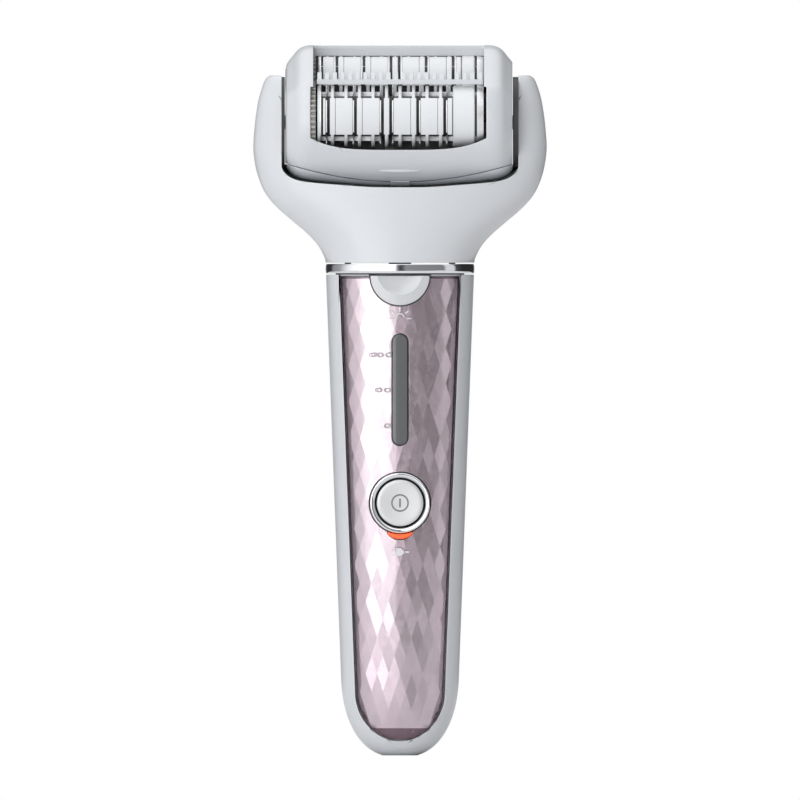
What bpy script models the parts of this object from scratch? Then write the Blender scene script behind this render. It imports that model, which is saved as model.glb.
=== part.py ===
"""Epilator: a hand-held hair remover with a swinging head that holds two tweezer drums.

The frame is the handle's own: +Z runs along the handle to the head, the front faces -Y, and the
origin is on the handle's axis at the flat end of its base. Lengths in this file are millimetres,
turned into metres by MM as each mesh is made.
"""

import bmesh
import bpy
from math import asin, atan2, cos, pi, radians, sin

MM = 0.001
GAP = 0.3                      # running gap between neighbouring pieces
MERGE = 1e-6                   # metres: corners this close are one corner

# ---- Handle ------------------------------------------------------------------------------------
HANDLE_SIDES = 28
HANDLE_TOP = 121.9             # top edge of the two handle shells
BASE_HALF_WIDTH = 14.2         # half width that the straight taper would have at the base
WIDTH_TAPER = 0.0375           # growth of the half width per millimetre of height
FRONT_DEPTH = 11.0             # front surface's distance from the axis at the base
FRONT_TAPER = 0.030
REAR_DEPTH = 12.5              # the rear is straight, so the handle lies flat
DOME_HEIGHT = 20.0             # height of the rounded base
SECTION_POWER = 2.35           # roundness of every cross-section: 2 is an ellipse
WALL = 1.8
FRONT_WALL = 3.6               # front wall with the panel's recess in it
SPLIT_Y = 2.0                  # parting plane of the two handle shells
REST_Y = 12.2                  # flat strip on the back, for lying on a table
REST_Z = (20.0, 105.0)

# ---- Panel and what sits in it -----------------------------------------------------------------
PANEL_HALF_WIDTH = 10.77
PANEL_TAPER = 0.038
PANEL_BOTTOM = 3.6
PANEL_TOP = 121.6
PANEL_ROUND = 12.0             # height of the panel's rounded lower end
COVER_THICKNESS = 1.0
PANEL_RECESS = 2.3
BUTTON_Z = 64.0
BEZEL_RADIUS = 7.65
BUTTON_RADIUS = 5.9
WINDOW_Z = (78.7, 106.7)
WINDOW_HALF_WIDTH = 1.87
LIGHT_RADIUS = 7.5
CHARGE_HALF_WIDTH = 3.1
CHARGE_BOTTOM = 54.9

# ---- Yoke and neck -----------------------------------------------------------------------------
RING_Z = (122.2, 124.6)
YOKE_BOTTOM = 124.9
YOKE_TOP = 172.4
PIVOT_Z = 160.5
PIN_RADIUS = 1.8
ARM_INNER = 30.0               # inner face of each yoke arm
SADDLE_DEPTH = 16.5            # the saddle's lowest point, below the pivot
SADDLE_GAP = 0.45
SADDLE_STEP_Y = 7.5            # behind this the saddle is higher, so the gap can't be seen through
SADDLE_STEP = 1.4
WASHER_RADIUS = 11.1
# height, half width, front depth, rear depth
YOKE_SECTIONS = (
    (124.9, 18.9, 14.5, 12.4), (126.1, 19.1, 14.5, 12.5), (129.2, 20.7, 14.4, 12.6),
    (132.2, 23.4, 14.2, 12.8), (135.3, 27.0, 13.9, 12.8), (138.3, 30.5, 13.6, 12.8),
    (141.3, 33.3, 13.3, 12.7), (144.4, 35.1, 12.9, 12.5), (148.6, 36.5, 12.4, 12.1),
    (153.5, 37.2, 11.7, 11.5), (158.0, 37.0, 11.1, 11.0), (162.6, 36.5, 10.4, 10.4),
    (166.6, 35.8, 9.6, 9.6), (169.6, 34.9, 8.7, 8.7), (171.6, 34.0, 7.7, 7.7),
    (172.4, 32.8, 6.8, 6.8),
)

# ---- Head --------------------------------------------------------------------------------------
HEAD_LEFT = -29.1
HEAD_RIGHT = 28.5
HEAD_SIDES = 28
HEAD_WALL = 1.0
BARREL_RADIUS = SADDLE_DEPTH - SADDLE_GAP
# distance along the pivot from the head's middle, share of the barrel's radius, share of the top
HEAD_STATIONS = (
    (0.0, 1.0, 1.0), (7.1, 0.994, 1.0), (12.9, 0.969, 1.0), (19.8, 0.935, 1.0),
    (23.3, 0.909, 1.0), (25.6, 0.877, 0.955), (27.4, 0.820, 0.850), (28.6, 0.740, 0.770),
    (29.0, 0.680, 0.690),
)
# upper outline of the head seen along the pivot, from the front round to the rear
CROWN = ((-16.05, 0.0), (-15.9, 6.0), (-15.2, 8.6), (-13.6, 10.2), (-1.0, 17.8), (2.5, 19.0),
         (5.0, 19.4), (11.6, 19.4), (14.4, 18.2), (15.9, 15.4), (16.6, 9.0), (16.05, 0.0))
SEAM_DROP = 15.1               # the seam between base and frame, below the pivot
SEAM_RISE = 4.4                # its rise towards the head's ends
SEAM_REACH = 28.3
LOWER_WINDOW = (-22.7, 21.9, 153.5, 169.5)
LOWER_WINDOW_CORNER = 3.0      # rise of the window's lower edge at its ends
UPPER_WINDOW = (-22.0, 21.3, 169.2, 10.6)
TOP_BAR = (10.4, 11.6, 177.3, 179.5)   # front and rear face, lower and upper edge
COMB = (-21.1, 21.0, -11.9, -10.4, 170.1, 171.4)
COMB_TEETH = 22

# ---- Drums and drive ---------------------------------------------------------------------------
FRONT_DRUM = (-7.9, 162.0)
DRUM_SPACING = 16.4
REAR_DRUM_LIFT = 7.4
DRUM_RADIUS = 8.0
CORE_RADIUS = 5.0
DRUM_SIDES = 14
DRUM_TEETH = 38
TOOTH_MODULE = DRUM_SPACING / DRUM_TEETH
GEAR_X = (-22.6, -21.4)
DISC_PITCH = 6.85
DISC_REACH = 2                 # fixed discs on each side of the middle one
FRONT_MIDDLE = -3.4            # the disc that both sets of tweezers close on
REAR_MIDDLE = -1.25
FRONT_ROW = pi                 # direction that one of the four rows of tweezers faces
REAR_ROW = radians(141)
FRONT_BLOCK = (13.4, 19.0)     # the plain block at each drum's right end
REAR_BLOCK = (15.6, 19.0)
BLADE_GAP = 1.15               # from a disc's middle to the blade that closes on it
BLADE = 0.6
END_RING_X = 20.7
DRIVE_TEETH = 12
DRIVE_DROP = 9.6               # the drive shaft's depth below the front drum
CROWN_TEETH = 16
INPUT_TEETH = 10
CROWN_MODULE = 0.3

# ---- Drive parts in the handle -----------------------------------------------------------------
MOTOR_RADIUS = 6.8
MOTOR_Z = (76.0, 112.0)
BATTERY_RADIUS = 7.0
BATTERY_Z = (16.0, 66.0)
BATTERY_Y = 3.4
RELEASE_Z = 115.4
INLET_HALF = (3.6, 2.4)
INLET_HOLE = (2.7, 1.6)
INLET_PIN_X = 1.4

# colour, roughness, metallic
FINISHES = {
    "white": ((0.80, 0.82, 0.84), 0.28, 0.0),
    "pink": ((0.55, 0.30, 0.40), 0.30, 0.7),
    "clear": ((0.85, 0.75, 0.80), 0.08, 0.0),
    "chrome": ((0.80, 0.81, 0.83), 0.10, 1.0),
    "silver": ((0.62, 0.63, 0.64), 0.35, 0.6),
    "orange": ((1.00, 0.20, 0.05), 0.30, 0.0),
    "smoke": ((0.13, 0.13, 0.14), 0.15, 0.0),
    "lens": ((0.72, 0.73, 0.75), 0.20, 0.0),
    "steel": ((0.55, 0.56, 0.58), 0.25, 1.0),
    "grey": ((0.40, 0.41, 0.43), 0.40, 0.0),
    "nylon": ((0.70, 0.70, 0.66), 0.45, 0.0),
    "black": ((0.03, 0.03, 0.03), 0.55, 0.0),
    "board": ((0.03, 0.20, 0.10), 0.45, 0.0),
    "copper": ((0.72, 0.45, 0.20), 0.30, 1.0),
    "cell": ((0.10, 0.30, 0.20), 0.40, 0.0),
}


# ---- Solids ------------------------------------------------------------------------------------
def solid(points, faces):
    """A closed mesh from millimetre points, with its faces turned outwards."""
    mesh = bpy.data.meshes.new("shape")
    mesh.from_pydata([tuple(c * MM for c in p) for p in points], [], faces)
    bm = bmesh.new()
    bm.from_mesh(mesh)
    bmesh.ops.recalc_face_normals(bm, faces=bm.faces)
    bm.to_mesh(mesh)
    bm.free()
    shape = bpy.data.objects.new("shape", mesh)
    bpy.context.collection.objects.link(shape)
    return shape


def loft(rings):
    """A solid through rings of equal point counts, capped at both ends."""
    count = len(rings[0])
    points = [p for ring in rings for p in ring]
    faces = [[r * count + k, r * count + (k + 1) % count,
              (r + 1) * count + (k + 1) % count, (r + 1) * count + k]
             for r in range(len(rings) - 1) for k in range(count)]
    faces.append(list(range(count)))
    faces.append([(len(rings) - 1) * count + k for k in range(count)])
    return solid(points, faces)


def closed_loft(rings):
    """A ring-shaped solid: the last ring of points joins the first."""
    count = len(rings[0])
    points = [p for ring in rings for p in ring]
    faces = [[r * count + k, r * count + (k + 1) % count,
              (r + 1) % len(rings) * count + (k + 1) % count, (r + 1) % len(rings) * count + k]
             for r in range(len(rings)) for k in range(count)]
    return solid(points, faces)


def place(axis, along, a, b):
    """A point from its distance along an axis and its two other coordinates, in x, y, z order."""
    if axis == "x":
        return (along, a, b)
    if axis == "y":
        return (a, along, b)
    return (a, b, along)


def prism(outline, axis, low, high):
    return loft([[place(axis, end, a, b) for a, b in outline] for end in (low, high)])


def box(low, high):
    outline = ((low[0], low[1]), (high[0], low[1]), (high[0], high[1]), (low[0], high[1]))
    return prism(outline, "z", low[2], high[2])


def circle(centre, radius, sides, first=0.0):
    return [(centre[0] + radius * cos(first + 2 * pi * k / sides),
             centre[1] + radius * sin(first + 2 * pi * k / sides)) for k in range(sides)]


def turned(profile, axis, centre, sides=20):
    """A turned solid: profile holds (distance along the axis, radius) from one end to the other."""
    return loft([[place(axis, along, a, b) for a, b in circle(centre, radius, sides)]
                 for along, radius in profile])


def turned_ring(inner, outer, low, high, axis, centre, sides=24):
    corners = ((low, inner), (low, outer), (high, outer), (high, inner))
    return closed_loft([[place(axis, along, a, b) for a, b in circle(centre, radius, sides)]
                        for along, radius in corners])


def combine(part, tool, operation):
    """Join, cut or intersect part with tool, which is used up."""
    modifier = part.modifiers.new("combine", "BOOLEAN")
    modifier.operation = operation
    modifier.solver = "EXACT"
    modifier.object = tool
    view = bpy.context.evaluated_depsgraph_get()
    mesh = bpy.data.meshes.new_from_object(part.evaluated_get(view))
    part.modifiers.clear()
    part.data = mesh
    bpy.data.objects.remove(tool)
    close_slivers(mesh)
    return part


def close_slivers(mesh):
    """Merge corners that a cut left on one another, and fill any pinhole between them."""
    bm = bmesh.new()
    bm.from_mesh(mesh)
    bmesh.ops.remove_doubles(bm, verts=bm.verts, dist=MERGE)
    bmesh.ops.dissolve_degenerate(bm, dist=MERGE, edges=bm.edges)
    bmesh.ops.holes_fill(bm, edges=[e for e in bm.edges if e.is_boundary], sides=6)
    bm.to_mesh(mesh)
    bm.free()


def cut(part, *tools):
    for tool in tools:
        combine(part, tool, "DIFFERENCE")
    return part


def join(part, *tools):
    for tool in tools:
        combine(part, tool, "UNION")
    return part


def common(part, tool):
    return combine(part, tool, "INTERSECT")


def finish(name, part, finish_name, origin=(0.0, 0.0, 0.0), empty=None):
    """Name a piece, give it its own material, and put its origin on its axis."""
    part.name = name
    part.data.name = name
    for vertex in part.data.vertices:
        vertex.co = [c - o * MM for c, o in zip(vertex.co, origin)]
    part.location = [o * MM for o in origin]
    if empty:
        part.parent = empty
        part.location = [o * MM - e for o, e in zip(origin, world_place(empty))]
    material = bpy.data.materials.new(name)
    material.use_nodes = True
    colour, roughness, metallic = FINISHES[finish_name]
    shader = material.node_tree.nodes["Principled BSDF"]
    shader.inputs["Base Color"].default_value = (*colour, 1.0)
    shader.inputs["Roughness"].default_value = roughness
    shader.inputs["Metallic"].default_value = metallic
    part.data.materials.clear()
    part.data.materials.append(material)
    part.data.shade_smooth()
    part.data.set_sharp_from_angle(angle=radians(35))
    return part


def world_place(empty):
    where = [0.0, 0.0, 0.0]
    while empty:
        where = [a + b for a, b in zip(where, empty.location)]
        empty = empty.parent
    return where


def joint_empty(name, origin, parent=None):
    """An empty on a joint's axis, which carries the pieces that move together."""
    empty = bpy.data.objects.new(name, None)
    empty.empty_display_size = 5 * MM
    empty.location = [o * MM for o in origin]
    if parent:
        empty.location = [o * MM - p for o, p in zip(origin, world_place(parent))]
        empty.parent = parent
    bpy.context.collection.objects.link(empty)
    return empty


# ---- Handle shapes -----------------------------------------------------------------------------
def section(half_width, front, rear, z, sides):
    """A rounded cross-section at height z, with its own depth to the front and to the rear."""
    ring = []
    for k in range(sides):
        angle = 2 * pi * (k + 0.5) / sides
        c, s = cos(angle), sin(angle)
        depth = rear if s > 0 else front
        x = half_width * abs(c) ** (2 / SECTION_POWER)
        y = depth * abs(s) ** (2 / SECTION_POWER)
        ring.append((x if c > 0 else -x, y if s > 0 else -y, z))
    return ring


def dome(z):
    """Share of the full width that the rounded base has at height z."""
    left = max(0.0, (DOME_HEIGHT - z - 0.45) / DOME_HEIGHT)
    return (1 - left ** 2.2) ** 0.4


def half_width(z):
    return (BASE_HALF_WIDTH + WIDTH_TAPER * z) * dome(z)


def depth_dome(z):
    """The same for the depth, which stays full nearly to the base."""
    left = max(0.0, (DOME_HEIGHT - z - 0.45) / DOME_HEIGHT)
    return (1 - left ** 6) ** 0.4


def front_depth(z):
    return (FRONT_DEPTH + FRONT_TAPER * z) * depth_dome(z)


def rear_depth(z):
    return REAR_DEPTH * depth_dome(z)


def handle_solid(low, high, side=0.0, front=0.0, rear=0.0):
    """The handle's form between two heights, taken in by the given amounts."""
    rounded = [DOME_HEIGHT * (1 - cos(pi / 2 * k / 6)) for k in range(7)]
    straight = [45.0, 70.0, 95.0]
    heights = [low] + [z for z in rounded + straight if low + 0.3 < z < high - 0.3] + [high]
    return loft([section(half_width(z) - side, front_depth(z) - front, rear_depth(z) - rear,
                         z, HANDLE_SIDES) for z in heights])


def panel_outline(inset):
    """The panel seen from the front, taken in by inset all round."""
    heights = [PANEL_TOP - inset, 80.0, 50.0, 30.0]
    heights += [PANEL_BOTTOM + PANEL_ROUND * (1 - sin(pi / 2 * k / 6)) for k in range(7)]
    side = []
    for z in heights:
        left = max(0.0, (PANEL_BOTTOM + PANEL_ROUND - z) / PANEL_ROUND)
        width = (PANEL_HALF_WIDTH + PANEL_TAPER * z) * (1 - left ** 2) ** 0.5 - inset
        side.append((max(width, 0.0), max(z, PANEL_BOTTOM + inset)))
    right = [p for p in side if p[0] > 0.4]
    return right + [(0.0, PANEL_BOTTOM + inset)] + [(-x, z) for x, z in reversed(right)]


def pill(half, low, high, sides=8):
    """An upright slot with round ends, seen from the front."""
    top = [(half * cos(pi * k / sides), high - half + half * sin(pi * k / sides))
           for k in range(sides + 1)]
    bottom = [(-half * cos(pi * k / sides), low + half - half * sin(pi * k / sides))
              for k in range(sides + 1)]
    return top + bottom


def half_disc(radius, above=0.0):
    """The light's lens: a half disc that hangs from the panel's top edge, or a hole for it."""
    bowl = [(radius * cos(pi * k / 12), PANEL_TOP - radius * sin(pi * k / 12)) for k in range(13)]
    return bowl + [(-radius, PANEL_TOP + above), (radius, PANEL_TOP + above)] if above else bowl


def crescent(grow):
    """The charge light under the button: its upper edge follows the bezel."""
    reach = CHARGE_HALF_WIDTH + grow
    upper = BEZEL_RADIUS + GAP - grow
    turn = asin(reach / upper)
    edge = [(upper * sin(turn * k / 3), BUTTON_Z - upper * cos(turn * k / 3)) for k in range(-3, 4)]
    drop = edge[0][1] - (CHARGE_BOTTOM - grow)
    bowl = [(reach * cos(pi * k / 8), edge[0][1] - drop * sin(pi * k / 8)) for k in range(1, 8)]
    return edge + bowl


def front_holes(grow):
    """Cutters through the front wall for the pieces that sit in the panel."""
    outlines = (circle((0.0, BUTTON_Z), BEZEL_RADIUS + grow, 28), crescent(grow),
                pill(WINDOW_HALF_WIDTH + grow, WINDOW_Z[0] - grow, WINDOW_Z[1] + grow),
                half_disc(LIGHT_RADIUS + grow, 2.0))
    return [prism(outline, "y", -25.0, -4.0) for outline in outlines]


def half_shell(other_half):
    """One of the two handle shells: the hollow form less the other half."""
    shell = cut(handle_solid(0.0, HANDLE_TOP), other_half)
    cut(shell, handle_solid(2.4, HANDLE_TOP + 2.0, WALL, FRONT_WALL, WALL))
    half_x, half_y = INLET_HALF
    return cut(shell, box((-half_x - GAP, -half_y - GAP, -2.0), (half_x + GAP, half_y + GAP, 4.0)))


def make_handle_shells():
    front = half_shell(box((-40, SPLIT_Y - GAP / 2, -5), (40, 40, 130)))
    recess = prism(panel_outline(0.0), "y", -25.0, -3.0)
    cut(recess, handle_solid(0.3, HANDLE_TOP + 2.0, PANEL_RECESS, PANEL_RECESS, 0.0))
    cut(front, recess, *front_holes(0.3))
    finish("front_shell", front, "white")
    rear = half_shell(box((-40, -40, -5), (40, SPLIT_Y + GAP / 2, 130)))
    cut(rear, box((-20, REST_Y, REST_Z[0]), (20, 20, REST_Z[1])))
    cut(rear, prism(release_outline(GAP), "y", 6.0, 20.0))
    finish("rear_shell", rear, "white")


def solid_copy(part):
    copy = bpy.data.objects.new("shape", part.data.copy())
    bpy.context.collection.objects.link(copy)
    return copy


def make_panel():
    skin = handle_solid(0.0, HANDLE_TOP)
    cut(skin, handle_solid(0.3, HANDLE_TOP + 2.0, COVER_THICKNESS, COVER_THICKNESS, 0.0))
    cover = common(prism(panel_outline(0.25), "y", -25.0, -3.0), skin)
    finish("panel_cover", cut(cover, *front_holes(0.3)), "clear")
    below = COVER_THICKNESS + GAP
    foil = handle_solid(0.0, HANDLE_TOP, below, below, 0.0)
    cut(foil, handle_solid(0.3, HANDLE_TOP + 2.0, below + 0.7, below + 0.7, 0.0))
    panel = common(prism(panel_outline(0.4), "y", -25.0, -3.5), foil)
    finish("decor_panel", cut(panel, *front_holes(0.3)), "pink")


def front_insert(outline, thickness):
    """A piece of the front skin with the given outline, as thick as stated."""
    skin = handle_solid(0.0, HANDLE_TOP)
    cut(skin, handle_solid(0.3, HANDLE_TOP + 2.0, thickness, thickness, 0.0))
    return common(prism(outline, "y", -25.0, -3.0), skin)


def make_panel_inserts():
    window = front_insert(pill(WINDOW_HALF_WIDTH, *WINDOW_Z), 2.6)
    finish("speed_window", window, "smoke")
    finish("light_lens", front_insert(half_disc(LIGHT_RADIUS), 2.6), "lens")
    finish("charge_lens", front_insert(crescent(0.0), 2.6), "orange")
    at = (0.0, BUTTON_Z)
    finish("button_bezel", turned_ring(6.35, BEZEL_RADIUS, -13.2, -10.7, "y", at, 28), "chrome")
    finish("button_seal", turned_ring(2.2, 7.3, -10.4, -9.8, "y", at, 20), "black")


def make_power_button():
    edge = BUTTON_RADIUS
    profile = [(-13.1, edge - 0.4), (-12.9, edge), (-11.3, edge), (-11.3, 1.6), (-10.7, 1.6)]
    origin = (0.0, -12.9, BUTTON_Z)
    empty = joint_empty("power_button_axis", origin)
    shape = turned(profile, "y", (0.0, BUTTON_Z), 28)
    finish("power_button", shape, "silver", origin, empty)


def make_electronics():
    board = box((-5.8, -8.2, 46.0), (5.8, -7.3, 118.9))
    finish("circuit_board", board, "board")
    switch = box((-3.0, -9.4, BUTTON_Z - 3), (3.0, -8.5, BUTTON_Z + 3))
    join(switch, turned([(-9.85, 1.5), (-9.0, 1.5)], "y", (0.0, BUTTON_Z), 12))
    finish("tact_switch", switch, "black")
    bar = box((-1.2, -9.9, WINDOW_Z[0] + 2), (1.2, -8.5, WINDOW_Z[1] - 2))
    finish("speed_light_bar", bar, "lens")
    led = turned([(-11.0, 0.7), (-10.6, 1.3), (-9.9, 1.5), (-8.5, 1.5)], "y", (0.0, 117.2), 12)
    finish("light_led", led, "lens")


def make_battery():
    at = (0.0, BATTERY_Y)
    low, high = BATTERY_Z
    cell = turned([(low, BATTERY_RADIUS), (high - 1.2, BATTERY_RADIUS), (high - 1.2, 2.8),
                   (high, 2.8)], "z", at, 28)
    finish("battery_cell", cell, "cell")
    top = box((-2.6, BATTERY_Y - 2.6, high + GAP), (2.6, BATTERY_Y + 2.6, high + 0.7))
    join(top, box((-1.5, -6.6, high + GAP), (1.5, BATTERY_Y, high + 0.7)))
    finish("battery_tab_top", top, "steel")
    bottom = box((-4.0, BATTERY_Y - 3.0, low - 0.7), (4.0, BATTERY_Y + 3.0, low - GAP))
    finish("battery_tab_bottom", bottom, "steel")


def make_chassis():
    """The frame that the cell, the motor and the neck plate are fixed to."""
    frame = box((-9.8, -6.9, 69.4), (9.8, 7.8, 72.4))
    for side in (-1, 1):
        near, far = sorted((side * 8.4, side * 9.8))
        join(frame, box((near, -2.0, 12.0), (far, 1.0, 118.9)))
    join(frame, box((-9.8, -2.0, 12.4), (9.8, 5.4, 13.8)))
    join(frame, box((-9.8, -5.0, 113.8), (9.8, 6.0, 115.6)))
    join(frame, box((-4.0, 4.6, 115.0), (4.0, 6.0, 118.9)))
    for side in (-1, 1):
        join(frame, turned([(115.0, 2.6), (118.9, 2.6)], "z", (side * 8.9, 0.0), 14))
        cut(frame, turned([(116.0, 1.3), (119.5, 1.3)], "z", (side * 8.9, 0.0), 14))
    cut(frame, turned([(113.0, 3.3), (116.2, 3.3)], "z", (0.0, 0.0), 20))
    finish("chassis", frame, "grey")


def make_motor():
    at = (0.0, 0.0)
    low, high = MOTOR_Z
    can = turned([(low, MOTOR_RADIUS), (high, MOTOR_RADIUS), (high, 3.0), (high + 1.4, 3.0)],
                 "z", at, 28)
    finish("motor_can", can, "steel")
    cap = turned([(low - 2.5, MOTOR_RADIUS - 0.8), (low - GAP, MOTOR_RADIUS - 0.2)], "z", at, 24)
    finish("motor_end_cap", cap, "black")
    empty = joint_empty("motor_axis", (0.0, 0.0, high))
    shaft = turned([(high + 1.7, 0.95), (123.4, 0.95)], "z", at, 16)
    finish("motor_shaft", shaft, "steel", (0.0, 0.0, high), empty)
    dog = turned_ring(1.25, 3.4, 118.4, 122.6, "z", at, 24)
    for side in (-1, 1):
        lug = box((side * 2.4 - 0.7, -1.2, 122.0), (side * 2.4 + 0.7, 1.2, 124.2))
        join(dog, lug)
    finish("drive_dog", dog, "nylon", (0.0, 0.0, high), empty)


def make_inlet():
    half_x, half_y = INLET_HALF
    socket = prism(rounded_box(half_x, half_y, 1.2), "z", 0.0, 9.0)
    cut(socket, prism(rounded_box(*INLET_HOLE, 0.8), "z", -1.0, 7.0))
    for name, side in (("inlet_pin_left", -1), ("inlet_pin_right", 1)):
        at = (side * INLET_PIN_X, 0.0)
        cut(socket, turned([(6.0, 0.9), (10.0, 0.9)], "z", at, 14))
        pin = turned([(1.0, 0.4), (1.3, 0.6), (11.2, 0.6)], "z", at, 14)
        finish(name, pin, "copper")
    finish("inlet_socket", socket, "black")
    seal = prism(rounded_box(half_x + 1.1, half_y + 1.1, 2.0), "z", 6.2, 7.8)
    cut(seal, prism(rounded_box(half_x + GAP, half_y + GAP, 1.5), "z", 5.0, 9.0))
    finish("inlet_seal", seal, "black")


def rounded_box(half_x, half_y, radius):
    corners = ((half_x - radius, half_y - radius, 0), (radius - half_x, half_y - radius, 1),
               (radius - half_x, radius - half_y, 2), (half_x - radius, radius - half_y, 3))
    return [(x + radius * cos(pi / 2 * (turn + k / 3)), y + radius * sin(pi / 2 * (turn + k / 3)))
            for x, y, turn in corners for k in range(4)]


def release_outline(grow):
    """The release button seen from behind: a wide slot with round ends."""
    half, reach = 3.0 + grow, 5.6 + grow
    turns = [pi * (k / 8 - 0.5) for k in range(9)]
    right = [(reach - half + half * cos(turn), RELEASE_Z + half * sin(turn)) for turn in turns]
    return right + [(-x, 2 * RELEASE_Z - z) for x, z in right]


def make_release():
    button = prism(release_outline(0.0), "y", 10.8, 11.9)
    join(button, turned([(9.2, 1.4), (11.0, 1.4)], "y", (0.0, RELEASE_Z), 14))
    origin = (0.0, 11.9, RELEASE_Z)
    empty = joint_empty("release_axis", origin)
    finish("release_button", button, "white", origin, empty)
    spring = coil(2.2, 0.3, 2.5, 6.5, 10.2, "y", (0.0, RELEASE_Z))
    finish("release_spring", spring, "steel", origin, empty)


def coil(radius, wire, turns, low, high, axis, centre):
    """A wire spring as a swept helix with a round section."""
    steps = int(turns * 12)
    pitch = (high - low) / turns
    rings = []
    for k in range(steps + 1):
        angle = 2 * pi * turns * k / steps
        along = low + (high - low) * k / steps
        slope = atan2(pitch, 2 * pi * radius)
        ring = []
        for j in range(6):
            turn = 2 * pi * j / 6
            out = radius + wire * cos(turn)
            lift = wire * sin(turn)
            lean = angle - lift * sin(slope) / out
            ring.append(place(axis, along + lift * cos(slope), centre[0] + out * cos(lean),
                              centre[1] + out * sin(lean)))
        rings.append(ring)
    return loft(rings)


# ---- Neck --------------------------------------------------------------------------------------
def make_neck():
    low, high = RING_Z
    z = (low + high) / 2
    rings = []
    for height, inset in ((low, 0.25), (low + 0.5, 0.0), (high - 0.5, 0.0), (high, 0.25),
                          (high, 2.0), (low, 2.0)):
        rings.append(section(half_width(z) + 0.05 - inset, front_depth(z) - inset,
                             rear_depth(z) - inset, height, HANDLE_SIDES))
    finish("neck_ring", closed_loft(rings), "chrome")
    plate = handle_solid(119.2, 124.2, 2.4, FRONT_WALL + GAP, 2.4)
    cut(plate, turned([(118.0, 5.0), (126.0, 5.0)], "z", (0.0, 0.0), 24))
    for side in (-1, 1):
        at = (side * 8.9, 0.0)
        cut(plate, turned([(118.0, 1.3), (122.6, 1.3), (122.6, 2.3), (126.0, 2.3)], "z", at, 16))
        near, far = sorted((side * 12.0, side * 14.4))
        cut(plate, box((near, -3.2, 118.0), (far, 3.2, 126.0)))
        name = "neck_screw_left" if side < 0 else "neck_screw_right"
        screw = turned([(116.4, 1.0), (122.9, 1.0), (122.9, 2.0), (124.0, 1.6)], "z", at, 16)
        finish(name, screw, "steel")
    finish("neck_plate", plate, "grey")
    seal = turned_ring(3.75, 4.7, 120.0, 121.6, "z", (0.0, 0.0), 24)
    finish("neck_seal", seal, "black")


# ---- Yoke --------------------------------------------------------------------------------------
def yoke_solid(side=0.0, deep=0.0, low_extra=0.0):
    rings = [section(width - side, front - deep, rear - deep, z, HANDLE_SIDES)
             for z, width, front, rear in YOKE_SECTIONS]
    first = YOKE_SECTIONS[0]
    if low_extra:
        rings.insert(0, section(first[1] - side, first[2] - deep, first[3] - deep,
                                first[0] - low_extra, HANDLE_SIDES))
    if side:
        rings = rings[:-2]
    return loft(rings)


def saddle_outline(grow, rise=0.0):
    """The space between the arms seen from the front: the head's barrel and its gap."""
    side = []
    for x, low_share, _top in HEAD_STATIONS:
        side.append((min(x * ARM_INNER / 29.0, ARM_INNER) + grow * x / 29.0,
                     PIVOT_Z - SADDLE_GAP - BARREL_RADIUS * low_share - grow + rise))
    side.append((ARM_INNER + grow, PIVOT_Z - 8.6))
    side.append((ARM_INNER + grow, 200.0))
    return side + [(-x, z) for x, z in reversed(side[1:])]


def make_yoke(empty, origin):
    shell = yoke_solid()
    cut(shell, prism(saddle_outline(0.0), "y", -40.0, SADDLE_STEP_Y))
    cut(shell, prism(saddle_outline(0.0, SADDLE_STEP), "y", SADDLE_STEP_Y - GAP, 40.0))
    hollow = yoke_solid(WALL, WALL, 5.0)
    cut(hollow, prism(saddle_outline(1.6), "y", -40.0, 40.0))
    cut(shell, hollow)
    bore = PIN_RADIUS + GAP
    cut(shell, turned([(-33.0, bore), (33.0, bore)], "x", (0.0, PIVOT_Z), 20))
    cut(shell, turned([(138.0, 2.6), (150.0, 2.6)], "z", (0.0, 0.0), 20))
    rear = solid_copy(shell)
    cut(shell, box((-50, -GAP / 2, 110), (50, 40, 190)))
    finish("yoke_front_shell", shell, "white", origin, empty)
    cut(rear, box((-50, -40, 110), (50, GAP / 2, 190)))
    finish("yoke_rear_shell", rear, "white", origin, empty)

    bottom = YOKE_SECTIONS[0]
    inset = WALL + GAP
    base = loft([section(bottom[1] - inset, bottom[2] - inset, bottom[3] - inset, z, HANDLE_SIDES)
                 for z in (124.9, 127.6)])
    join(base, turned([(127.0, 4.2), (134.0, 4.2)], "z", (0.0, 0.0), 20))
    bore = [(124.0, 3.7), (129.0, 3.7), (129.0, 1.6), (136.0, 1.6)]
    cut(base, turned(bore, "z", (0.0, 0.0), 20))
    for side in (-1, 1):
        near, far = sorted((side * 12.4, side * 14.0))
        join(base, box((near, -2.8, 120.0), (far, 2.8, 126.0)))
    finish("yoke_base", base, "grey", origin, empty)

    for name, side, inner in (("pivot_pin_left", -1, 25.6), ("pivot_pin_right", 1, 24.0)):
        ends = sorted((side * inner, side * 32.1))
        profile = [(ends[0], PIN_RADIUS), (ends[1], PIN_RADIUS)]
        head = [(side * 32.1, 2.8), (side * 33.0, 2.8)]
        profile = profile + head if side > 0 else list(reversed(head)) + profile
        finish(name, turned(profile, "x", (0.0, PIVOT_Z), 20), "steel", origin, empty)
    spring = coil(2.7, 0.25, 1.4, 24.3, 25.1, "x", (0.0, PIVOT_Z))
    finish("swing_spring", spring, "steel", origin, empty)
    for name, low, high in (("pivot_washer_left", -29.75, -29.35),
                            ("pivot_washer_right", HEAD_RIGHT + GAP, ARM_INNER - GAP)):
        washer = turned_ring(PIN_RADIUS + GAP, WASHER_RADIUS, low, high, "x", (0.0, PIVOT_Z), 36)
        finish(name, washer, "black", origin, empty)


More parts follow.
